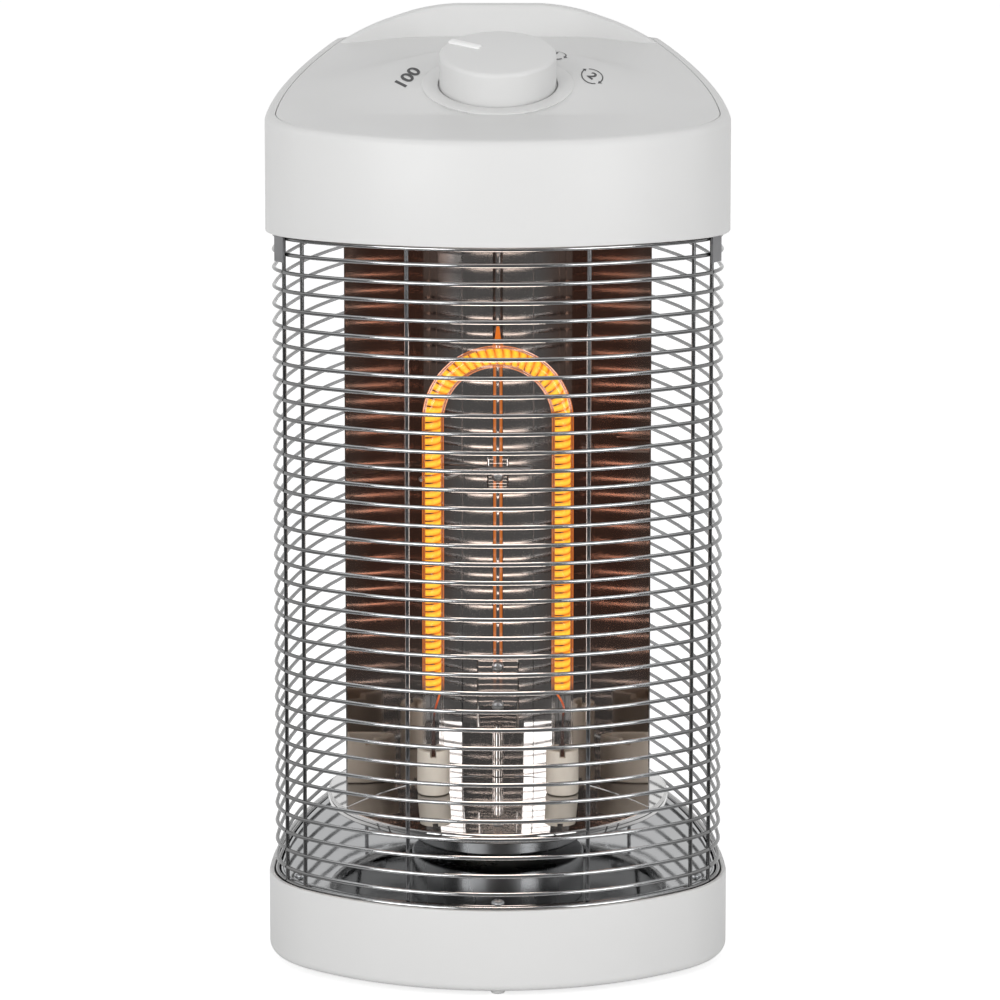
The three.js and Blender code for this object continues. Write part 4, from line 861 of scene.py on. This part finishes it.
# A straight wound band, laid along the lamp's U afterwards, with the warmth of each of its points
def makeCoil():
    leg, arch = archHeight - lamp["glow"], math.pi * lamp["spread"]
    length = 2 * leg + arch
    curls = int(length / lamp["pitch"])
    steps = curls * lamp["curlSteps"]
    bm = bmesh.new()
    corners = [bm.verts.new(((lamp["coil"] + face * lamp["thick"] / 2) * mm, 0, face * share * lamp["band"] * mm))
               for face in (1, -1) for share in (-0.5, -0.34, 0, 0.34, 0.5)]
    joinUp(bm, corners, closed=True)
    wound = bmesh.ops.spin(bm, geom=bm.verts[:] + bm.edges[:], cent=(0, 0, 0), axis=(0, 0, 1),
                           dvec=(0, 0, length * mm / steps), angle=2 * math.pi * curls, steps=steps)["geom_last"]
    bmesh.ops.contextual_create(bm, geom=edgesOf(wound))
    bmesh.ops.holes_fill(bm, edges=[edge for edge in bm.edges if edge.is_boundary])
    warmths = []
    edgeStart, edgeWidth = warmthOf["edge"]
    for vert in bm.verts:
        radius, phase = math.hypot(vert.co.x, vert.co.y) / mm, math.atan2(vert.co.y, vert.co.x) / (2 * math.pi)
        curl = vert.co.z / mm * curls / length - phase
        share = abs(curl - round(curl)) * length / curls / lamp["band"]
        level = warmthOf["outside"] if radius > lamp["coil"] else warmthOf["inside"]
        warmths.append((1 - warmthOf["edgeLoss"] * easeOf((share - edgeStart) / edgeWidth)) * level)
        run = vert.co.z / mm - leg
        turn = math.pi * min(max(run / arch, 0), 1)
        outwards, along = Vector((-math.cos(turn), 0, math.sin(turn))), Vector((math.sin(turn), 0, math.cos(turn)))
        beyond = run if run < 0 else max(run - arch, 0)
        middle = Vector((0, -lamp["forward"], archHeight)) + outwards * lamp["spread"] + along * beyond
        vert.co = (middle + outwards * vert.co.x / mm + Vector((0, -1, 0)) * vert.co.y / mm) * mm
    y = -lamp["forward"]
    for side in (-1, 1):
        x = side * lamp["spread"]
        across, ahead, height = leads["step"]
        addInto(bm, wireAlong([(x, y, leads["bottom"]), (x, y, leads["bend"]), (x + across, y + ahead, height),
                               (x - side * lamp["coil"], y, lamp["glow"] - leads["below"])], leads["wire"]))
        addInto(bm, uprightWire(x, y, leads["bottom"], leads["pin"], leads["pinWire"]))
    warmth = bm.verts.layers.float.new("warmth")
    bm.verts.ensure_lookup_table()
    for index, vert in enumerate(bm.verts):
        onLead = max(0, (vert.co.z / mm - leads["bend"]) / leads["fade"])
        vert[warmth] = warmths[index] if index < len(warmths) else onLead
    bmesh.ops.transform(bm, matrix=turntablePlace, verts=bm.verts)
    coil = newPiece("carbonCoil", bm, "carbon", "turntable", ["lamp_filament"])
    coil.visible_glossy = False  # the polished sheet shows no image of the lamp in the photograph


makeCoil()

cap = {"radius": 8.3, "height": 23.3, "bore": 5.9, "socket": 6, "slot": 3, "slotHalf": 1.5}
for capName, capX in (("left", -lamp["spread"]), ("right", lamp["spread"])):
    capPlace = turntablePlace @ Matrix.Translation((capX * mm, -lamp["forward"] * mm, 0))
    socketFloor, slotFloor = cap["height"] - cap["socket"], cap["height"] - cap["slot"]
    capMesh = spun([(0, 0.3), (cap["radius"], 0.3), (cap["radius"], cap["height"]), (cap["bore"], cap["height"]),
                    (cap["bore"], socketFloor), (0, socketFloor)], capPlace, rounds={1: 1, 2: 0.8, 3: 0.5}, sides=64)
    slots = []
    for x, y in ((10, cap["slotHalf"]), (cap["slotHalf"], 10)):
        slot = boxOf((-x, -y, slotFloor), (x, y, 26))
        bmesh.ops.transform(slot, matrix=capPlace, verts=slot.verts)
        slots.append(slot)
    capMesh = carve(capMesh, slots)
    newPiece("ceramicCap_" + capName, capMesh, "ceramic", "turntable", ["lamp_cap_" + capName])

support = {"height": 162.4, "wire": 0.8, "clear": 1.3, "rise": 1.2, "root": (17, 8, -4, -12),
           "hook": range(0, 211, 30)}


# A wire along the reflector's face, hooked round the left leg of the lamp
def makeSupport():
    radius = lamp["radius"] + support["clear"]
    y = faceOf(support["root"][0]) - support["rise"]
    points = [(x, y, support["height"]) for x in support["root"]]
    for angle in map(math.radians, support["hook"]):
        points.append((radius * math.cos(angle) - lamp["spread"], radius * math.sin(angle) - lamp["forward"],
                       support["height"]))
    bm = wireAlong(points, support["wire"])
    bmesh.ops.transform(bm, matrix=turntablePlace, verts=bm.verts)
    newPiece("supportWire", bm, "zinc", "turntable", ["lamp_support"], angle=50)


makeSupport()
print("lamp made")


# Pan head screw with a cross recess
def screwMesh(place):
    bm = spun([(0, -8), (1.6, -8), (1.6, 0), (3.1, 0), (3.1, 0.5), (2.4, 1.7), (0, 2)], Matrix.Identity(4),
              rounds={5: 1.0}, sides=32)
    bm = carve(bm, [boxOf((-x, -y, 0.9), (x, y, 3)) for x, y in ((1.7, 0.35), (0.35, 1.7))])
    bmesh.ops.transform(bm, matrix=place, verts=bm.verts)
    return bm


deckScrews = {"front": (0, -116.5), "left": (-98, -72), "right": (98, -72), "rear_left": (-62, 100),
              "rear_right": (62, 100)}
for screwName, (x, y) in deckScrews.items():
    newPiece("deckScrew_" + screwName, screwMesh(Matrix.Translation((x * mm, y * mm, 45.1 * mm))), "zinc", "body",
             ["deck_screw_" + screwName])
reflectorScrews = {"pad_screw_lower": (17.9, 37.5), "pad_screw_upper": (17.9, 58.1), "support_screw": (17.3, 158.2)}
towardsFront = Matrix.Rotation(math.pi / 2, 4, "X")
for screwName, (depth, height) in reflectorScrews.items():
    screwPlace = turntablePlace @ Matrix.Translation((0, depth * mm, height * mm)) @ towardsFront
    newPiece("screw_" + screwName, screwMesh(screwPlace), "zinc", "turntable", [screwName])

plungerMesh = spun([(0, 0), (3.6, 0), (3.6, 8), (2, 8), (2, 22.8), (0, 22.8)], plungerPlace, rounds={1: 1.2},
                   sides=32)
newPiece("tipPlunger", plungerMesh, "white", "tip_plunger", ["tip_plunger"])

# Nodes of the model that keep their own shape
kept = {
    "darkSteel": ["guard_clip_left", "guard_clip_right", "switch_shaft"],
    "zinc": ["rear_column", "heat_shield", "thermal_cutout", "oscillation_motor", "motor_screw_left",
             "motor_screw_right", "tip_spring", "spindle_clip", "reflector_bracket"],
    "gear": ["sector_gear", "motor_pinion"],
    "darkPlastic": ["rotary_switch", "tip_switch_body", "terminal_block", "cord_gland", "wire_harness"],
}
for finish, names in kept.items():
    for name in names:
        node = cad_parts[name]
        node.data.materials.clear()
        node.data.materials.append(materials[finish])
print("kept nodes dressed")


# Studio: a pale floor, a white surround that is dark only behind the camera, and soft lamps
studio = {"floor": 60.0, "floorGlow": 0.66, "floorDepth": (-0.35, 0.2), "worldDepth": (-0.5, 0.0), "ambient": 0.46,
          "dark": 0.11, "white": (1, 1, 1, 1)}


# Rays straight from the camera, and rays that a glossy or clear surface has sent on
def raysOf(tree):
    kinds = ("Is Camera Ray", "Is Glossy Ray", "Is Transmission Ray")
    fromCamera, glossy, through = (Signal.node(tree, "ShaderNodeLightPath", output=kind) for kind in kinds)
    either = glossy + through
    return fromCamera, either.math("MINIMUM", either, 1.0)


def makeFloor():
    bm = bmesh.new()
    bmesh.ops.create_grid(bm, x_segments=1, y_segments=1, size=studio["floor"])
    floor = asObject("floor", bm)
    material = bpy.data.materials.new("paleFloor")
    material.use_nodes = True
    tree = material.node_tree
    tree.nodes.clear()
    fromCamera, sentOn = raysOf(tree)
    glow = fromCamera * studio["floorGlow"]
    lit = Signal.node(tree, "ShaderNodeBsdfDiffuse", None, {"Color": (0.8, 0.8, 0.8, 1)})
    own = Signal.node(tree, "ShaderNodeEmission", None, {"Color": studio["white"], "Strength": glow})
    shown = Signal.node(tree, "ShaderNodeAddShader", None, {0: lit, 1: own})
    depth = axisOf(tree, "Y").spread(*studio["floorDepth"], studio["dark"], 1.0)
    mirrored = Signal.node(tree, "ShaderNodeEmission", None, {"Color": studio["white"], "Strength": depth})
    mixed = Signal.node(tree, "ShaderNodeMixShader", None, {0: sentOn, 1: shown, 2: mirrored})
    output = tree.nodes.new("ShaderNodeOutputMaterial")
    tree.links.new(mixed.socket, output.inputs["Surface"])
    floor.data.materials.append(material)


def makeWorld():
    world = bpy.data.worlds.new("studioWorld")
    world.use_nodes = True
    bpy.context.scene.world = world
    tree = world.node_tree
    fromCamera, sentOn = raysOf(tree)
    depth = axisOf(tree, "Y", "Generated").spread(*studio["worldDepth"], studio["dark"], 1.0)
    strength = fromCamera + (1 - fromCamera) * (sentOn * depth + (1 - sentOn) * studio["ambient"])
    background = tree.nodes["Background"]
    background.inputs["Color"].default_value = studio["white"]
    tree.links.new(strength.socket, background.inputs["Strength"])


def makeLamp(name, place, size, power, target=(0, 0, 0.25), colour=(1, 1, 1), seen=True):
    data = bpy.data.lights.new(name, "AREA")
    data.shape, data.size, data.size_y = "RECTANGLE", *size
    data.energy, data.color = power, colour
    light = bpy.data.objects.new(name, data)
    light.location, light.visible_camera = place, seen
    light.rotation_euler = (Vector(target) - Vector(place)).to_track_quat("-Z", "Y").to_euler()
    bpy.context.scene.collection.objects.link(light)


makeFloor()
makeWorld()
studioLamps = {
    "keyLamp": {"place": (-1.2, -1.9, 0.75), "size": (1.2, 1.2), "power": 20},
    "fillLamp": {"place": (1.4, -1.7, 0.65), "size": (1.0, 1.2), "power": 14.5},
    "topLamp": {"place": (0, -0.1, 1.9), "size": (1.4, 1.0), "power": 2.8},
    # The glowing coil's own light on the wires in front of it
    "coilGlow": {"place": (0, -0.031, 0.21), "target": (0, -1, 0.21), "size": (0.05, 0.2), "power": 0.16,
                 "colour": (1, 0.84, 0.74), "seen": False},
}
for lampName, settings in studioLamps.items():
    makeLamp(lampName, **settings)
bpy.context.scene.view_settings.view_transform = "Standard"
print("studio made")
